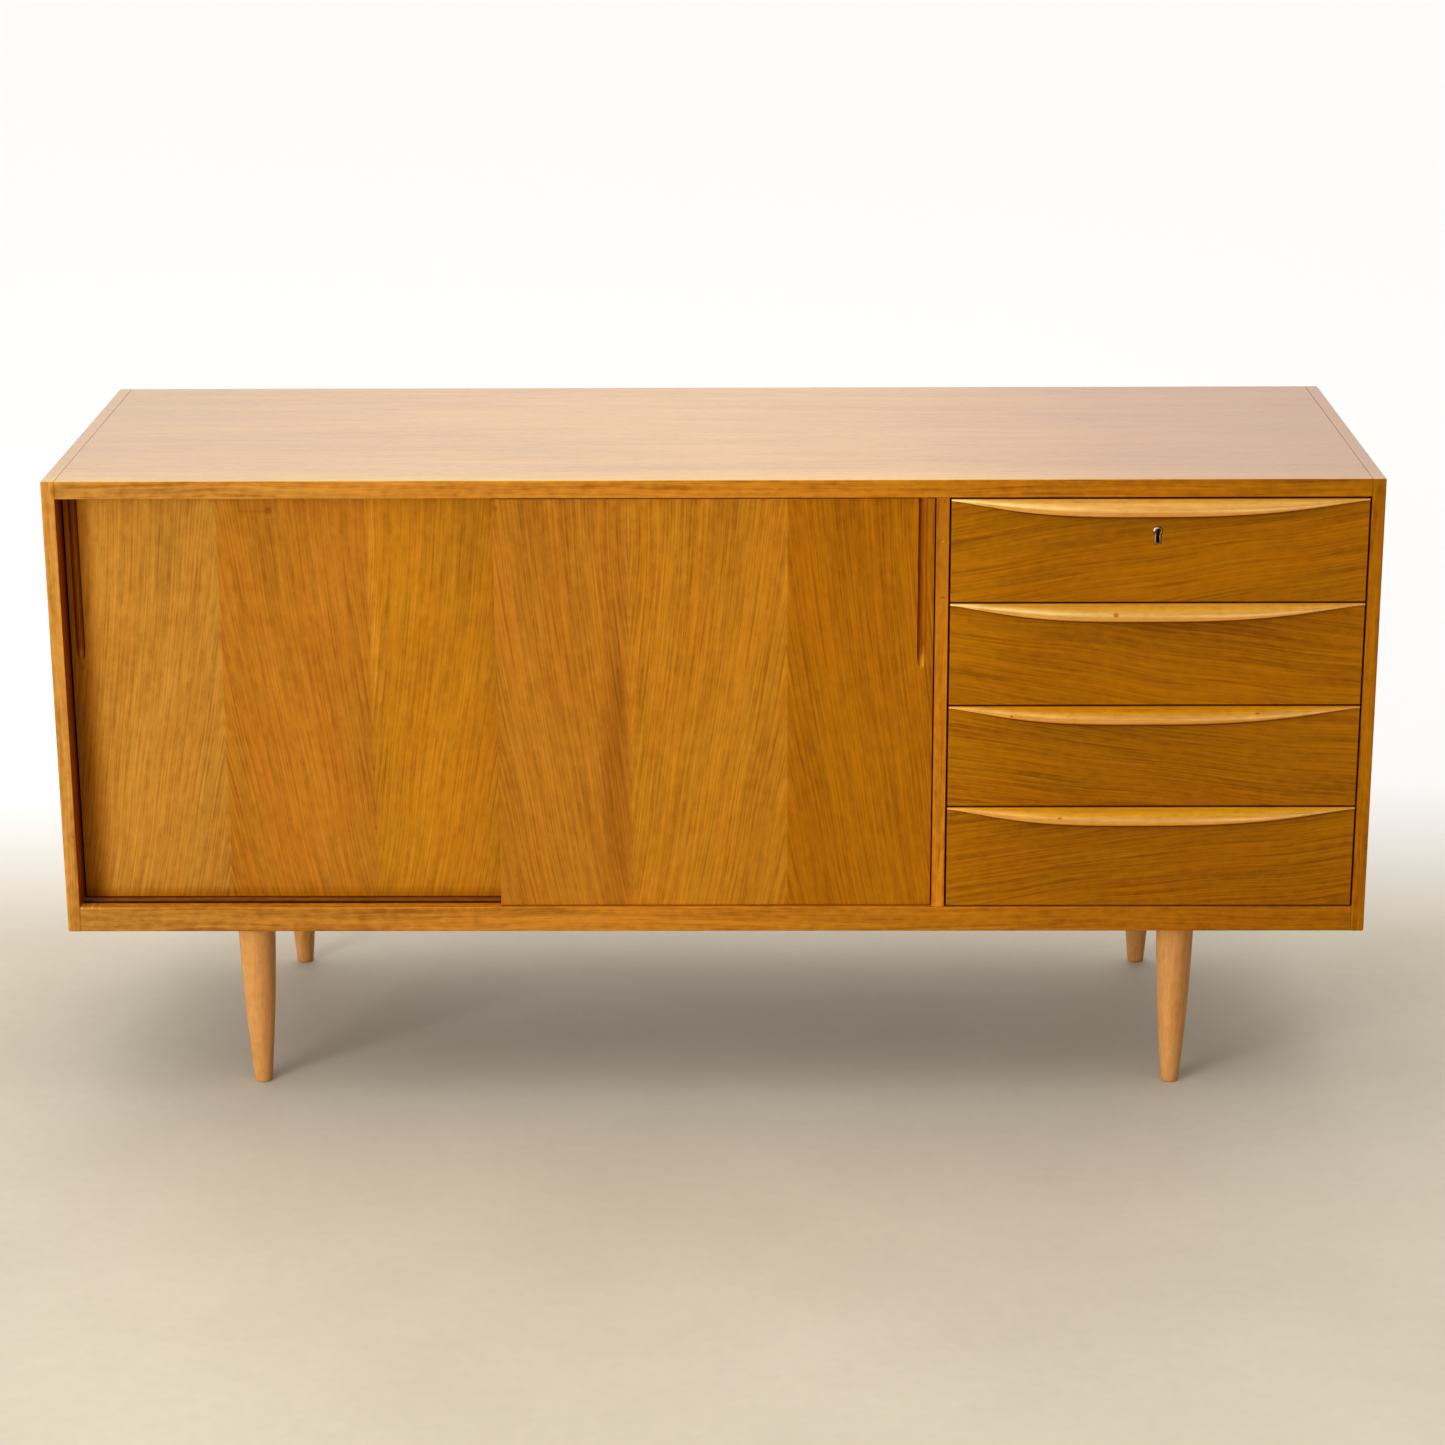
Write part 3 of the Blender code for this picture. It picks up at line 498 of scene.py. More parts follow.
def along_cabinet(shader):
    """The carcass wood: paler on the left and deeper on the right, partly its tone and partly
    painted light, with painted red-brown shade on the inner faces near the front.
    """
    outside = shader.ramp(shader.spread(shader.x, -HALF_WIDTH, HALF_WIDTH), CARCASS_TONE_AND_LIGHT)
    aside = shader.math("ABSOLUTE", shader.x)
    aside = shader.spread(aside, SIDE_INSIDE + 0.0002, SIDE_INSIDE + 0.0006)
    beyond = shader.math("MAXIMUM", aside, shader.spread(shader.z, CEILING, CEILING + 0.001))
    above = shader.spread(shader.z, FLOOR + 0.0002, FLOOR + 0.0010)
    within = shader.times(above, shader.inverse(beyond))
    # Painted red-brown shade on the inner faces, by depth behind the front
    depth = shader.ramp(shader.spread(shader.y, FRONT, FRONT + 0.08), INSIDE_PAINTED_SHADE)
    return shader.tinted(outside, shader.mix(within, WHITE, depth))


def on_top(shader):
    """1 on the upper face of the cabinet, and 0 below it."""
    return shader.spread(shader.z, TOP - 0.0010, TOP - 0.0003)


def top_tints(shader):
    """The carcass tints, and on the upper face painted light and reflection: paler, brightest left
    of the middle, with a yellower painted highlight along the front.

    A dark patch marks the top's left end.
    """
    # Painted light and reflection on the upper face
    painted_top_light = shader.ramp(shader.spread(shader.x, -HALF_WIDTH, HALF_WIDTH), TOP_PAINTED_LIGHT)
    back = shader.spread(shader.y, FRONT, FRONT + 0.06)
    # A yellower painted highlight along the front of the upper face
    front = shader.mix(back, (1.20, 1.36, 0.50), WHITE)
    painted_top_light = shader.tinted(painted_top_light, front)
    edge = shader.marked(along_cabinet(shader), TOP_PATCH)
    return (shader.mix(on_top(shader), edge, painted_top_light),)


def half_on_top(shader):
    """How far the figure fades out on the upper face."""
    return shader.times(on_top(shader), 0.60)


def divider_tints(shader):
    """The carcass tints, with the upright darker towards its head, a nick and a dark mark."""
    shade = shader.ramp(
        shader.spread(shader.z, 0.24, 0.72), ((0.0, (1.34, 1.38, 1.6)), (1.0, (0.74, 0.66, 0.4)))
    )
    return along_cabinet(shader), shader.marked(shade, DIVIDER_MARKS)


def base_tints(shader):
    """The carcass tints, with a painted reflection that turns the rail's upper face a bright, deep
    ochre, the face below a little darker, and chips at its left end.
    """
    upper = shader.spread(shader.z, FLOOR - 0.0010, FLOOR - 0.0004)
    # Painted reflection on the rail's upper face, bright ochre; the face below a little darker
    shade = shader.mix(upper, (0.90, 0.87, 0.80), (1.25, 1.15, 0.30))
    return along_cabinet(shader), shader.marked(shade, RAIL_CHIPS)


def panel_tints(shader):
    """The carcass tints, with the bottom panel's upper face darker and painted shade down in its
    door tracks.
    """
    sunk = shader.spread(shader.z, FLOOR - 0.0006, FLOOR - 0.0001)
    # Painted shade, near black, down in the tracks; the upper face darker
    darker_top_and_track_shade = shader.mix(sunk, (0.20, 0.08, 0.03), (0.62, 0.54, 0.50))
    return along_cabinet(shader), darker_top_and_track_shade


def drawer_tints(shader):
    """The drawer veneer, a little paler at its left end, with painted red-brown shade round the rim
    behind its face, in the gaps between the drawers.
    """
    share = shader.spread(shader.x, DRAWER_LEFT, DRAWER_LEFT + 0.12)
    depth = shader.spread(shader.y, DRAWER_FACE, DRAWER_FACE + 0.014)
    # Painted red-brown shade in the gaps round the drawer
    painted_gap_shade = (1.0, 0.46, 0.18)
    rim = shader.ramp(depth, ((0.05, WHITE), (0.12, painted_gap_shade), (0.28, painted_gap_shade), (0.50, WHITE)))
    return shader.mix(share, (1.14, 1.18, 1.0), (0.98, 0.98, 1.0)), rim


def shares(colour, tone):
    """What the tone is multiplied by to give the colour."""
    return tuple(c / t for c, t in zip(colour, tone))


# How strongly a lip's painted highlight shows from its left end to its right
PAINTED_GLEAM_STRENGTH = tuple(
    (share, (level, level, level))
    for share, level in (
        (0.0, 1.0), (0.18, 0.95), (0.36, 0.45), (0.52, 0.22), (0.72, 0.62), (0.90, 0.50),
        (1.0, 0.20),
    )
)
# How far up the surface faces where the painted highlight lies at the left end, and how far that
# falls off
GLEAM_HIGH, GLEAM_FALL = 0.86, 0.24


def pull_tints(tone, tip_highlight, flecks):
    """Painted light over a lip's section, by how far its surface faces up: a yellower painted
    reflection along its top, a painted highlight on its nose and painted shade beneath.

    The painted highlight lies high at the left end, where the tip has its palest painted highlight,
    and lower towards the right.
    """
    # Painted highlights: on the nose, at the left tip and towards the right end
    nose_highlight = shares(srgb(200, 142, 68), tone)
    tip_highlight_share = shares(tip_highlight, tone)
    far_highlight_share = shares(srgb(240, 188, 124), tone)
    # By how far the surface faces up: painted shade beneath the nose, a painted highlight on it and
    # a yellower painted reflection along the top
    stops = (
        (0.30, (0.16, 0.05, 0.01)),
        (0.40, (0.36, 0.18, 0.05)),
        (0.455, (0.76, 0.58, 0.32)),
        (0.50, (0.86, 0.74, 0.46)),
        (0.57, nose_highlight),
        (0.78, nose_highlight),
        (0.90, (0.96, 0.92, 0.78)),
        (0.955, (0.92, 0.82, 0.40)),
    )

    def tints(shader):
        facing = shader.plus(shader.times(shader.upward(), 0.5), 0.5)
        section = shader.ramp(facing, stops)
        share = shader.spread(shader.x, DRAWER_LEFT, DRAWER_RIGHT)
        crest = shader.plus(shader.times(share, -GLEAM_FALL), GLEAM_HIGH)
        aside = shader.math("ABSOLUTE", shader.math("SUBTRACT", facing, crest))
        gleam = shader.inverse(shader.spread(aside, 0.015, 0.11))
        # The painted highlight follows the nose, strongest at the left end
        gleam = shader.times(gleam, shader.ramp(share, PAINTED_GLEAM_STRENGTH))
        section = shader.mix(gleam, section, shader.mix(share, tip_highlight_share, far_highlight_share))
        tip = shader.inverse(shader.spread(share, 0.0, 0.09))
        tip = shader.times(tip, shader.spread(facing, 0.42, 0.56))
        section = shader.mix(tip, section, tip_highlight_share)
        return (shader.marked(section, [(*fleck, FLECK) for fleck in flecks]),)

    return tints


# Arris tones: painted shade at the edges and in the gaps, with worn, paler spots that are also
# painted highlights
carcass_edge = arris_wear_and_shade("carcass_arris", srgb(172, 88, 18))
door_edge = arris_wear_and_shade("door_arris", srgb(162, 80, 12))
drawer_edge = arris_wear_and_shade("drawer_arris", srgb(152, 74, 4))


def carcass_wood(name, grain, **details):
    """The solid wood of the carcass: see plain_wood."""
    return plain_wood(name, grain, CARCASS, SOLID, wave=0.02, **details)


long_grain = carcass_wood(
    "carcass_long_grain", "X", tint=base_tints, coat=(FLOOR - 0.0004, 0.28)
)
shelf_grain = carcass_wood("shelf_grain", "X")
panel_grain = carcass_wood("carcass_panel_grain", "X", tint=panel_tints)
divider_grain = carcass_wood("divider_grain", "Z", tint=divider_tints)
top_grain, side_grain = (
    carcass_wood(
        f"carcass_{name}_grain", grain, tint=top_tints, calm=half_on_top,
        coat=(TOP - 0.0003, 0.92),
    )
    for name, grain in (("top", "X"), ("side", "Z"))
)
leg_wood = plain_wood("leg_wood", "Z", srgb(199, 139, 78), PALE, wave=0.01)
BOX_TONE = srgb(214, 172, 118)
box_side_wood = plain_wood("drawer_box_side_wood", "Y", BOX_TONE, PALE)
box_back_wood = plain_wood("drawer_box_back_wood", "X", BOX_TONE, PALE)
box_bottom_ply = plain_wood("drawer_bottom_ply", "X", srgb(206, 164, 112), PLY, wave=0.03)
runner_wood = plain_wood("runner_wood", "Y", srgb(200, 150, 92), PALE)
back_ply = plain_wood("back_plywood", "X", srgb(180, 126, 70), PLY, wave=0.04)
plate_low, plate_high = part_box("key_escutcheon")
PLATE_X = (plate_low.x + plate_high.x) / 2
brass = metal(
    "brass", (0.24, 0.15, 0.05), 0.22, (0.11, 0.06, 0.02), face=plate_low.y,
    # Painted highlights on the ring: a pale one at its upper left and a dimmer one low on its left
    # side
    rubs_and_highlights=(
        ((PLATE_X - 0.0032, plate_high.z - 0.0024), (0.0048, 0.0040), (0.98, 0.86, 0.60)),
        ((PLATE_X - 0.0028, plate_high.z - 0.0130), (0.0016, 0.0070), (0.70, 0.54, 0.28)),
    ),
)
# Blackened steel, kept this dark partly as painted shade: it is what shows through the keyhole
steel = metal("lock_steel", (0.10, 0.10, 0.10), 0.50, (0.04, 0.035, 0.03))
pin_steel = metal("shelf_pin_steel", (0.58, 0.57, 0.55), 0.45, (0.32, 0.30, 0.27))

# Painted shade and light across the finger grooves, from left to right: the shaded groove of the
# left door and the lit groove of the right door
SHADED_GROOVE = (
    (0.0, (0.60, 0.22, 0.02)),
    (0.22, (0.70, 0.30, 0.05)),
    (0.42, (1.00, 0.90, 0.60)),
    (0.66, (0.90, 0.75, 0.40)),
    (0.88, (0.45, 0.25, 0.08)),
    (1.0, (0.60, 0.40, 0.15)),
)
LIT_GROOVE = (
    (0.0, (0.55, 0.25, 0.04)),
    (0.18, (0.72, 0.40, 0.12)),
    (0.36, (1.20, 1.02, 0.70)),
    (0.60, (0.98, 0.82, 0.50)),
    (0.90, (0.92, 0.76, 0.55)),
    (1.0, (0.82, 0.62, 0.38)),
)
door_left_veneer = door_veneer(
    "door_left",
    joint=-0.563,
    leaf=0.171,
    tones=((0.73, 0.79, 1.10), (0.69, 0.61, 0.46), (0.74, 0.71, 0.28)),
    glow=(-0.386, 0.95),
    groove=(-0.7224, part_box("door_left")[0].y, SHADED_GROOVE),
    # Painted shadow of the side panel along this door's left edge
    side_shadow=(0.68, 0.46, 0.10),
    marks=(
        ((-0.5015, 0.7015), (0.0050, 0.0048), (0.46, 0.26, 0.10)),
        ((-0.520, 0.7008), (0.026, 0.0018), (0.60, 0.46, 0.26)),
        ((-0.480, 0.2360), (0.6, 0.0170), (0.60, 0.48, 0.08)),
    ),
)
door_right_veneer = door_veneer(
    "door_right",
    joint=0.083,
    leaf=0.177,
    tones=((0.69, 0.62, 0.47), (0.75, 0.71, 0.38), (0.61, 0.50, 0.03)),
    glow=(-0.094, 0.55),
    groove=(0.23585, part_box("door_right")[0].y, LIT_GROOVE),
    side_shadow=WHITE,
    marks=(
        ((-0.243, 0.711), (0.004, 0.005), (0.52, 0.35, 0.16)),
        ((-0.112, 0.380), (0.018, 0.260), (0.55, 0.44, 0.28)),
    ),
)
DRAWER_TONE = srgb(148, 85, 0)
# Of each drawer: the lean of its veneer, its lip's tone and the tone of the painted highlight at
# the lip's left tip, and the (centre, size) of the flecks on the lip
DRAWERS = (
    (0.13, srgb(218, 164, 84), srgb(250, 210, 130), (((0.643, 0.650), (0.0016, 0.0014)),)),
    (-0.14, srgb(220, 160, 56), srgb(250, 210, 130), (((0.4525, 0.5905), (0.0040, 0.0030)),)),
    (
        -0.14,
        srgb(208, 142, 16),
        srgb(236, 172, 76),
        (((0.338, 0.471), (0.0022, 0.0016)), ((0.616, 0.474), (0.0036, 0.0012))),
    ),
    (0.11, srgb(214, 152, 28), srgb(230, 165, 66), (((0.395, 0.3500), (0.0030, 0.0012)),)),
)


WELD_DISTANCE = 0.00002
FLAT_ANGLE = math.radians(0.5)
ARRIS_ANGLE = math.radians(35)
ARRIS = 0.0006
BOX_ARRIS = 0.0004
CRISP_ARRIS = 0.0003
FINE_ARRIS = 0.0002


def finish_node(name, face, arris=None, width=ARRIS):
    """Gives a CAD node its materials, and softens its arrises to this width."""
    node = NODES[name]
    mesh = node.data
    mesh.attributes.remove(mesh.attributes["custom_normal"])
    mesh.shade_smooth()
    mesh.materials.clear()
    mesh.materials.append(face)
    weld = node.modifiers.new("weld", "WELD")
    weld.merge_threshold = WELD_DISTANCE
    flatten = node.modifiers.new("flatten", "DECIMATE")
    flatten.decimate_type = "DISSOLVE"
    flatten.angle_limit = FLAT_ANGLE
    bevel = node.modifiers.new("arris", "BEVEL")
    bevel.width = width
    bevel.segments = 2
    bevel.limit_method = "ANGLE"
    bevel.angle_limit = ARRIS_ANGLE
    if arris is not None:
        mesh.materials.append(arris)
        bevel.material = 1
    normals = node.modifiers.new("normals", "WEIGHTED_NORMAL")
    normals.keep_sharp = True


finish_node("top_panel", top_grain, width=FINE_ARRIS)
for name in ("side_panel_left", "side_panel_right"):
    finish_node(name, side_grain, width=FINE_ARRIS)
finish_node("bottom_panel", panel_grain, width=FINE_ARRIS)
for name in ("bottom_front_rail", "bottom_back_rail"):
    finish_node(name, long_grain, width=CRISP_ARRIS)
finish_node("shelf", shelf_grain)
finish_node("divider_panel", divider_grain, carcass_edge)
finish_node("door_left", door_left_veneer, door_edge)
finish_node("door_right", door_right_veneer, door_edge)
finish_node("back_panel", back_ply)
for side in ("left", "right"):
    finish_node(f"leg_batten_{side}", runner_wood)
    for place in ("front", "back"):
        finish_node(f"shelf_pin_{place}_{side}", pin_steel, width=CRISP_ARRIS)
for number, (lean, *_) in enumerate(DRAWERS, start=1):
    drawer = f"drawer_{number}"
    front_veneer = plain_wood(
        f"{drawer}_veneer", "X", DRAWER_TONE, FIGURED, lean=lean, wave=0.045, tint=drawer_tints
    )
    finish_node(f"{drawer}_front", front_veneer, drawer_edge)
    finish_node(f"{drawer}_back", box_back_wood)
    finish_node(f"{drawer}_bottom", box_bottom_ply, width=FINE_ARRIS)
    for side in ("left", "right"):
        finish_node(f"{drawer}_side_{side}", box_side_wood, width=BOX_ARRIS)
        finish_node(f"{drawer}_runner_{side}", runner_wood)
for name in ("lock_case", "lock_bolt"):
    finish_node(name, steel, width=FINE_ARRIS)

# ---------------------------------------------------------------- finer shapes


def placed(name, bm, material):
    """An object in the scene, made from a bmesh and one material."""
    mesh = bpy.data.meshes.new(name)
    bm.to_mesh(mesh)
    bm.free()
    mesh.materials.append(material)
    made = bpy.data.objects.new(name, mesh)
    bpy.context.scene.collection.objects.link(made)
    return made


def piece(name, bm, material, body, slot, *nodes, sharp=60):
    """A finished piece that moves with a body, and stands for CAD nodes if any are named.

    Its edges are smooth up to the sharp angle, in degrees.
    """
    bmesh.ops.recalc_face_normals(bm, faces=bm.faces)
    made = placed(name, bm, material)
    made.data.shade_smooth()
    made.data.set_sharp_from_angle(angle=math.radians(sharp))
    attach(made, body)
    if nodes:
        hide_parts(*nodes)


def loft(bm, rings, closed=False):
    """Bridges rings of equal length, and closes its ends, or the last ring onto the first."""
    loops = [[bm.verts.new(point) for point in ring] for ring in rings]
    pairs = list(zip(loops, loops[1:]))
    if closed:
        pairs.append((loops[-1], loops[0]))
    for near, far in pairs:
        for i in range(len(near)):
            j = (i + 1) % len(near)
            bm.faces.new((near[i], near[j], far[j], far[i]))
    if not closed:
        bm.faces.new(loops[0][::-1])
        bm.faces.new(loops[-1])


LEG_FOOT_RADIUS = 0.0102
LEG_TOP_RADIUS = 0.0217
LEG_CURVE = 1.65
LEG_FOOT_ROUND = 0.0022
LEG_FOOT_RINGS = 8
# The shoulder stops this short of the rail's underside
LEG_GAP = 0.0003
LEG_RINGS = 48
LEG_SIDES = 72


def leg_radius(share):
    """The turned leg's radius at a share of its height: a slow swell, fullest at the shoulder."""
    swell = 1 - (1 - share) ** LEG_CURVE
    return LEG_FOOT_RADIUS + (LEG_TOP_RADIUS - LEG_FOOT_RADIUS) * swell


def add_leg(place):
    """A turned leg from its rounded foot to its shoulder, under the bottom panel."""
    node = f"leg_{place}"
    low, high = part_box(node)
    centre = (low + high) / 2
    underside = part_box("bottom_front_rail")[0].z
    shoulder = underside - LEG_GAP
    profile = []
    for i in range(LEG_FOOT_RINGS):
        turn = math.pi / 2 * i / LEG_FOOT_RINGS
        inset = LEG_FOOT_ROUND * (1 - math.sin(turn))
        profile.append((LEG_FOOT_RADIUS - inset, LEG_FOOT_ROUND * (1 - math.cos(turn))))
    for i in range(LEG_RINGS):
        z = LEG_FOOT_ROUND + (shoulder - LEG_FOOT_ROUND) * i / (LEG_RINGS - 1)
        profile.append((leg_radius(z / underside), z))
    turns = [2 * math.pi * i / LEG_SIDES for i in range(LEG_SIDES)]
    rings = [
        [(centre.x + radius * math.cos(t), centre.y + radius * math.sin(t), z) for t in turns]
        for radius, z in profile
    ]
    bm = bmesh.new()
    loft(bm, rings)
    piece(f"turned_{node}", bm, leg_wood, "carcass", "leg_wood", node)


for place in ("front_left", "front_right", "back_left", "back_right"):
    add_leg(place)

# A lip's section at its crest, as quadratic curves through (out from its back, down from its top)
PULL_CURVES = (
    ((0.0, 0.0), (0.0155, 0.0072), (0.0155, 0.0158)),
    ((0.0155, 0.0158), (0.0155, 0.0184), (0.0140, 0.0192)),
    ((0.0140, 0.0192), (0.0128, 0.0199), (0.0112, 0.0194)),
    ((0.0112, 0.0194), (0.0055, 0.0066), (0.0, 0.0165)),
)
# How far left of the drawer's middle the crest lies, the scale of the section at the ends, and the
# powers that shape the taper between them
PULL_CREST = 0.022
PULL_TIP_SCALE = 0.10
PULL_TAPER = 3.0
PULL_SWELL = 1.35
PULL_STATIONS = 120
PULL_STEPS = 14


def quadratic(start, control, end, t):
    """Point on a quadratic curve."""
    return tuple(
        a * (1 - t) ** 2 + 2 * b * t * (1 - t) + c * t * t for a, b, c in zip(start, control, end)
    )


def add_pull(number, wood):
    """The full-width lip of a drawer, its section tapering from a crest to both ends."""
    node = f"drawer_{number}_pull"
    low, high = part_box(node)
    crest = (low.x + high.x) / 2 - PULL_CREST
    section = []
    for curve in PULL_CURVES:
        section.extend(quadratic(*curve, i / PULL_STEPS) for i in range(PULL_STEPS))
    section.append(PULL_CURVES[-1][-1])
    rings = []
    for i in range(PULL_STATIONS + 1):
        x = low.x + (high.x - low.x) * i / PULL_STATIONS
        share = (x - crest) / ((low.x if x < crest else high.x) - crest)
        fullness = max(0.0, 1 - share**PULL_TAPER) ** PULL_SWELL
        scale = PULL_TIP_SCALE + (1 - PULL_TIP_SCALE) * fullness
        rings.append([(x, high.y - out * scale, high.z - down * scale) for out, down in section])
    bm = bmesh.new()
    loft(bm, rings)
    piece(f"shaped_{node}", bm, wood, f"drawer_{number}", "pull_wood", node, sharp=40)


for number, (_, tone, tip_highlight, flecks) in enumerate(DRAWERS, start=1):
    tints = pull_tints(tone, tip_highlight, flecks)
    name = f"drawer_{number}_pull_wood"
    add_pull(number, plain_wood(name, "X", tone, GLOSSY, wave=0.01, tint=tints))

# A joint line's slack between its boards, and how far it is sunk below their faces
JOINT_SLACK = 0.00001
JOINT_SUNK = 0.00008
JOINT_ROUND = 0.0008
JOINT_STEPS = 4
DIVIDER_JOINT_ROUND = 0.0004
DIVIDER_JOINT_DEPTH = 0.2


def add_joint_line(name, low, high, material, radius=JOINT_ROUND):
    """The hairline of glue and dust that fills a joint, in the thin box between two corners.

    Its edges are rounded, like the arrises beside it.
    """
    thin = min(range(3), key=lambda axis: high[axis] - low[axis])
    first, second = (axis for axis in range(3) if axis != thin)
    ring = []
    for quarter in range(4):
        right, upper = quarter in (0, 3), quarter in (0, 1)
        corner = (high if right else low)[first], (high if upper else low)[second]
        outward = (1 if right else -1), (1 if upper else -1)
        for step in range(JOINT_STEPS + 1):
            turn = math.pi / 2 * (quarter + step / JOINT_STEPS)
            point = [0.0, 0.0, 0.0]
            point[first] = corner[0] + radius * (math.cos(turn) - outward[0])
            point[second] = corner[1] + radius * (math.sin(turn) - outward[1])
            ring.append(point)
    rings = []
    for value in (low[thin] + JOINT_SLACK, high[thin] - JOINT_SLACK):
        rings.append([[value if axis == thin else p[axis] for axis in range(3)] for p in ring])
    bm = bmesh.new()
    loft(bm, rings)
    piece(name, bm, material, "carcass", "carcass_wood")


def add_joint_lines():
    """Hairlines where the top and the front rail meet the sides, and the divider meets both."""
    top_low, top_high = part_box("top_panel")
    rail_low, rail_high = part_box("bottom_front_rail")
    for side, inner, outer in (("left", 1, 0), ("right", 0, 1)):
        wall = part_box(f"side_panel_{side}")[inner].x
        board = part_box("top_panel")[outer].x
        near, far = sorted((wall, board))
        low = Vector((near, top_low.y + JOINT_SUNK, top_low.z))
        high = Vector((far, top_high.y - JOINT_SUNK, TOP - JOINT_SUNK))
        add_joint_line(f"top_joint_{side}", low, high, side_grain)
        low = Vector((near, rail_low.y + JOINT_SUNK, rail_low.z))
        high = Vector((far, rail_high.y, FLOOR - JOINT_SUNK))
        add_joint_line(f"rail_joint_{side}", low, high, side_grain)
    divider_low, divider_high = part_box("divider_panel")
    front = divider_low.y + JOINT_SUNK
    back = divider_low.y + DIVIDER_JOINT_DEPTH
    for name, foot, head in (
        ("head", divider_high.z, top_low.z), ("foot", rail_high.z, divider_low.z)
    ):
        low, high = Vector((divider_low.x, front, foot)), Vector((divider_high.x, back, head))
        add_joint_line(
            f"divider_joint_{name}", low, high, divider_grain, radius=DIVIDER_JOINT_ROUND
        )


add_joint_lines()

# The escutcheon's hole and outline: the head's radius, the half widths of the slot at its neck and
# foot, and the foot's drop below the head's centre
KEYHOLE = (0.0030, 0.00165, 0.0020, 0.0128)
KEY_PLATE = (0.0053, 0.0036, 0.0041, 0.0146)
KEYHOLE_STEPS = 64


def keyhole_ring(centre_x, head_z, y, size, inset):
    """A ring of points round a keyhole: a round head over a slot that widens to its foot."""
    radius, neck, foot, drop = (value - inset for value in size)
    start = math.asin(neck / radius)
    points = []
    for i in range(KEYHOLE_STEPS + 1):
        turn = start + 2 * (math.pi - start) * i / KEYHOLE_STEPS
        points.append((centre_x + radius * math.sin(turn), y, head_z - radius * math.cos(turn)))
    points.append((centre_x - foot, y, head_z - drop))
    points.append((centre_x + foot, y, head_z - drop))
    return points


def add_escutcheon():
    """The brass ring let into the top drawer's front, with rolled rims."""
    low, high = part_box("key_escutcheon")
    rings = [
        keyhole_ring((low.x + high.x) / 2, high.z - KEY_PLATE[0], y, size, inset)
        for y, size, inset in (
            (high.y, KEY_PLATE, 0.0),
            (low.y + 0.0005, KEY_PLATE, 0.0),
            (low.y + 0.0001, KEY_PLATE, 0.0002),
            (low.y, KEY_PLATE, 0.0006),
            (low.y + 0.0001, KEYHOLE, -0.0003),
            (low.y + 0.0005, KEYHOLE, 0.0),
            (high.y, KEYHOLE, 0.0),
        )
    ]
    bm = bmesh.new()
    loft(bm, rings, closed=True)
    piece("key_escutcheon_ring", bm, brass, "drawer_1", "brass", "key_escutcheon", sharp=50)


add_escutcheon()

# ---------------------------------------------------------------- floor, light and camera

# Widest behind the sideboard, so that its edge is out of sight
FLOOR_OUTLINE = ((-30, -30), (30, -30), (190, 20), (190, 190), (-190, 190), (-190, 20))
# From where to where it turns white behind the sideboard
FLOOR_FADE = (0.26, 0.95)


def add_floor():
    """A pale, matt floor: warm grey under the sideboard and white behind it."""
    shader = Shader("floor")
    cloud = shader.noise(shader.times(shader.x, 2.2), shader.times(shader.y, 2.2), 0.0, 4.0, 0.6)
    speck = shader.noise(shader.times(shader.x, 60.0), shader.times(shader.y, 60.0), 0.0, 3.0)
    tone = shader.blend_of((cloud, 0.6), (speck, 0.25))
    warm = shader.ramp(tone, ((0.30, srgb(190, 180, 161)), (0.55, srgb(200, 190, 171))))
    behind = shader.spread(shader.y, *FLOOR_FADE)
    colour = shader.mix(behind, warm, srgb(240, 240, 240))
    shader.set(Base_Color=colour, Roughness=shader.plus(shader.times(speck, 0.2), 0.6))
    bm = bmesh.new()
    bm.faces.new([bm.verts.new((x, y, 0)) for x, y in FLOOR_OUTLINE])
    placed("floor", bm, shader.material)


# The sky's light: its level, what it gains toward the back, the right and straight up, its least,
# and the share of it that is left near the horizon
SKY_LEVEL = 0.55
SKY_BACK, SKY_RIGHT, SKY_OVERHEAD = 0.50, -0.28, 1.15
SKY_LEAST = 0.22
SKY_HORIZON = 0.35


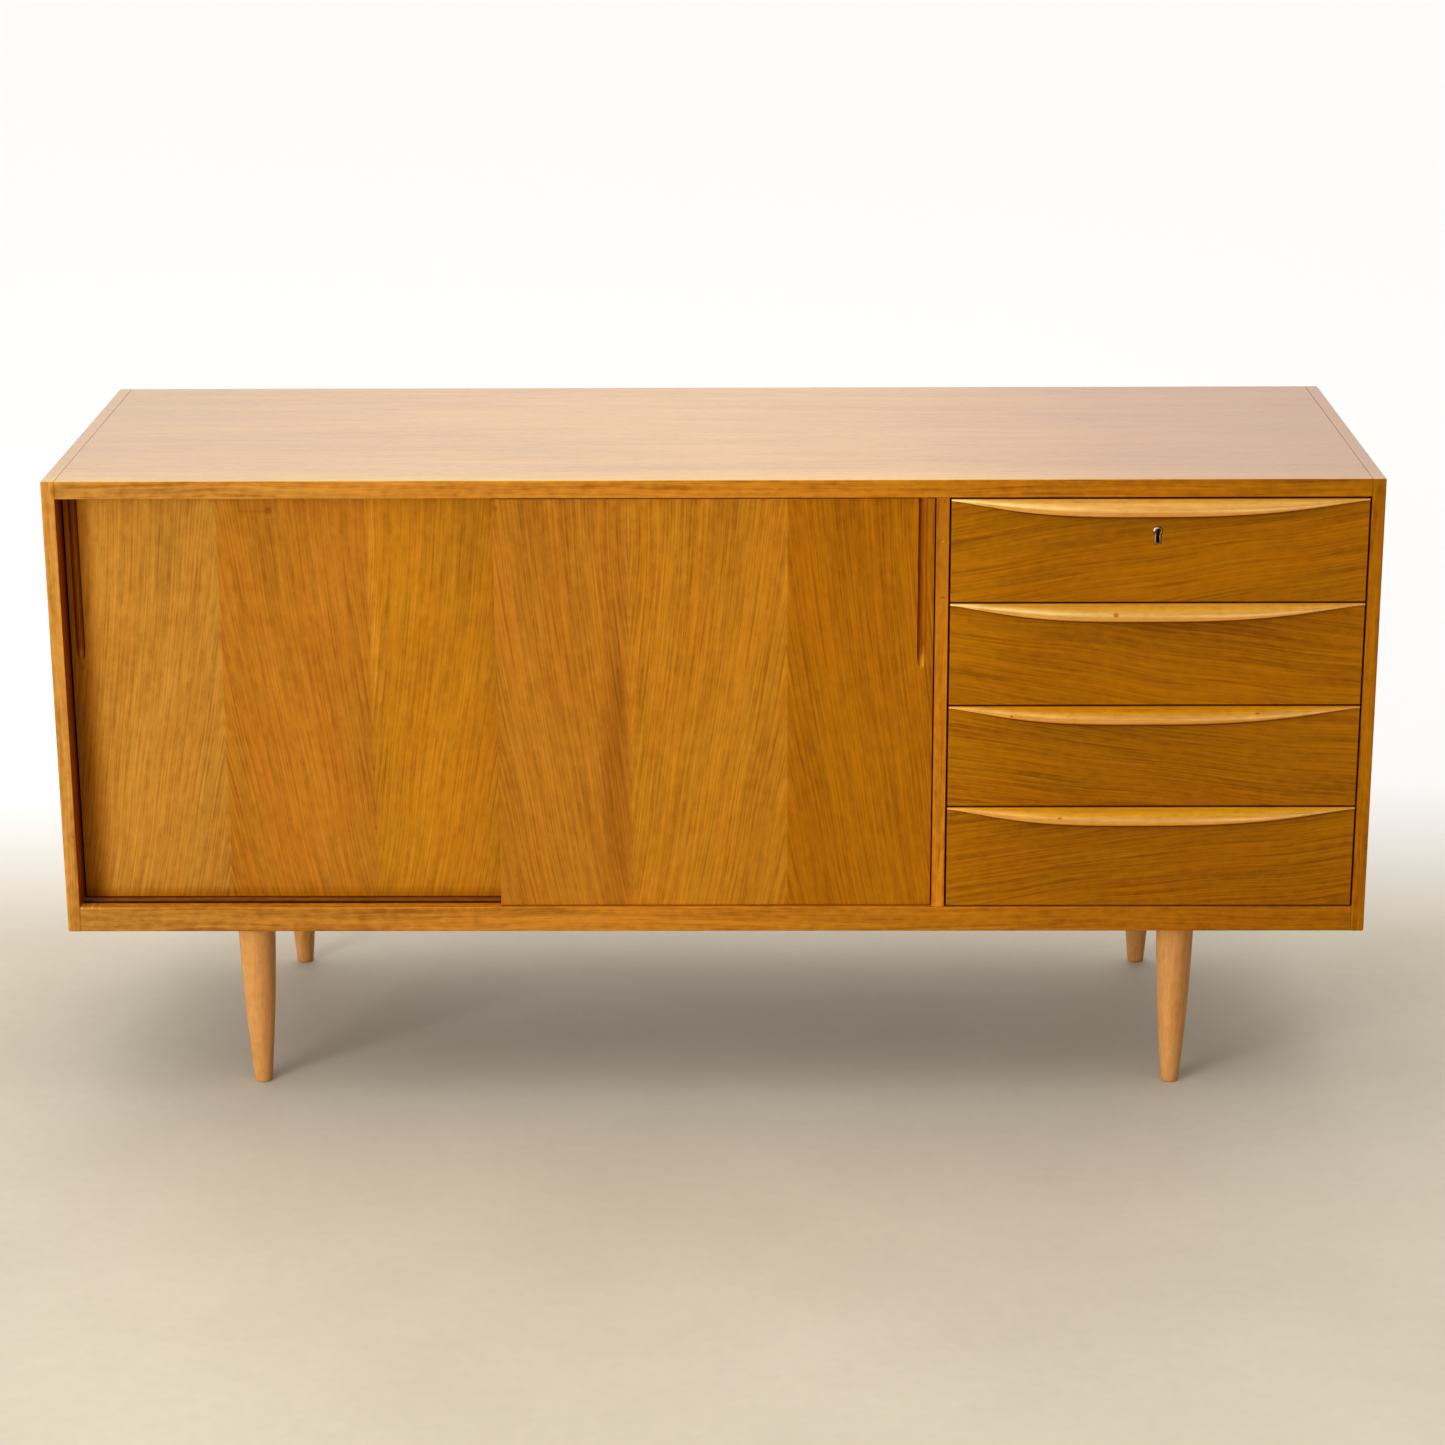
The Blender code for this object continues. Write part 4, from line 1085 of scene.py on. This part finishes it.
def add_world():
    """Soft light from all round, brightest behind the sideboard."""
    world = bpy.data.worlds.new("studio")
    world.use_nodes = True
    sky = Nodes(world.node_tree)
    x, y, z = sky.axes(sky.nodes.new("ShaderNodeTexCoord").outputs["Generated"])
    light = sky.math("MULTIPLY_ADD", y, SKY_BACK, SKY_LEVEL)
    light = sky.math("MULTIPLY_ADD", x, SKY_RIGHT, light)
    light = sky.math("MULTIPLY_ADD", sky.times(z, z), SKY_OVERHEAD, light)
    light = sky.math("MAXIMUM", light, SKY_LEAST)
    light = sky.times(light, sky.spread(z, 0.02, 0.26, SKY_HORIZON))
    background = sky.nodes["Background"]
    sky.feed(background.inputs["Strength"], light)
    sky.feed(background.inputs["Color"], (1.0, 0.99, 0.97, 1.0))
    bpy.context.scene.world = world


def add_softbox(name, place, target, size, power):
    """A large square area light that faces a point."""
    light = bpy.data.lights.new(name, "AREA")
    light.shape = "SQUARE"
    light.size = size
    light.energy = power
    lamp = bpy.data.objects.new(name, light)
    lamp.location = place
    lamp.rotation_euler = (Vector(target) - Vector(place)).to_track_quat("-Z", "Y").to_euler()
    bpy.context.scene.collection.objects.link(lamp)


# The viewpoint that was solved from the photo: metres, millimetres and degrees
CAMERA_PLACE = (0.05670, -4.04003, 1.62812)
CAMERA_LENS = 86.979
CAMERA_TURN, CAMERA_PITCH, CAMERA_ROLL = 0.6981, -17.0933, 0.2827


def add_camera():
    """The viewpoint: in front, a little right of the middle, looking down on the top."""
    camera = bpy.data.cameras.new("camera")
    camera.sensor_width = 36.0
    camera.lens = CAMERA_LENS
    camera.clip_end = 200.0
    holder = bpy.data.objects.new("camera", camera)
    turn = Matrix.Rotation(math.radians(CAMERA_TURN), 4, "Z")
    pitch = Matrix.Rotation(math.radians(CAMERA_PITCH), 4, "X")
    roll = Matrix.Rotation(math.radians(CAMERA_ROLL), 4, "Y")
    stand = Matrix.Translation(CAMERA_PLACE)
    holder.matrix_world = stand @ turn @ pitch @ roll @ Matrix.Rotation(math.radians(90), 4, "X")
    bpy.context.scene.collection.objects.link(holder)
    bpy.context.scene.camera = holder


add_floor()
add_world()
add_softbox("key", place=(-2.9, -3.6, 1.25), target=(0.0, -0.2, 0.45), size=1.8, power=134)
add_softbox("window", place=(-1.3, -3.8, 2.6), target=(0.3, -0.2, 0.5), size=0.9, power=14)
add_camera()
bpy.context.scene.view_settings.view_transform = "Standard"

bpy.context.view_layer.update()
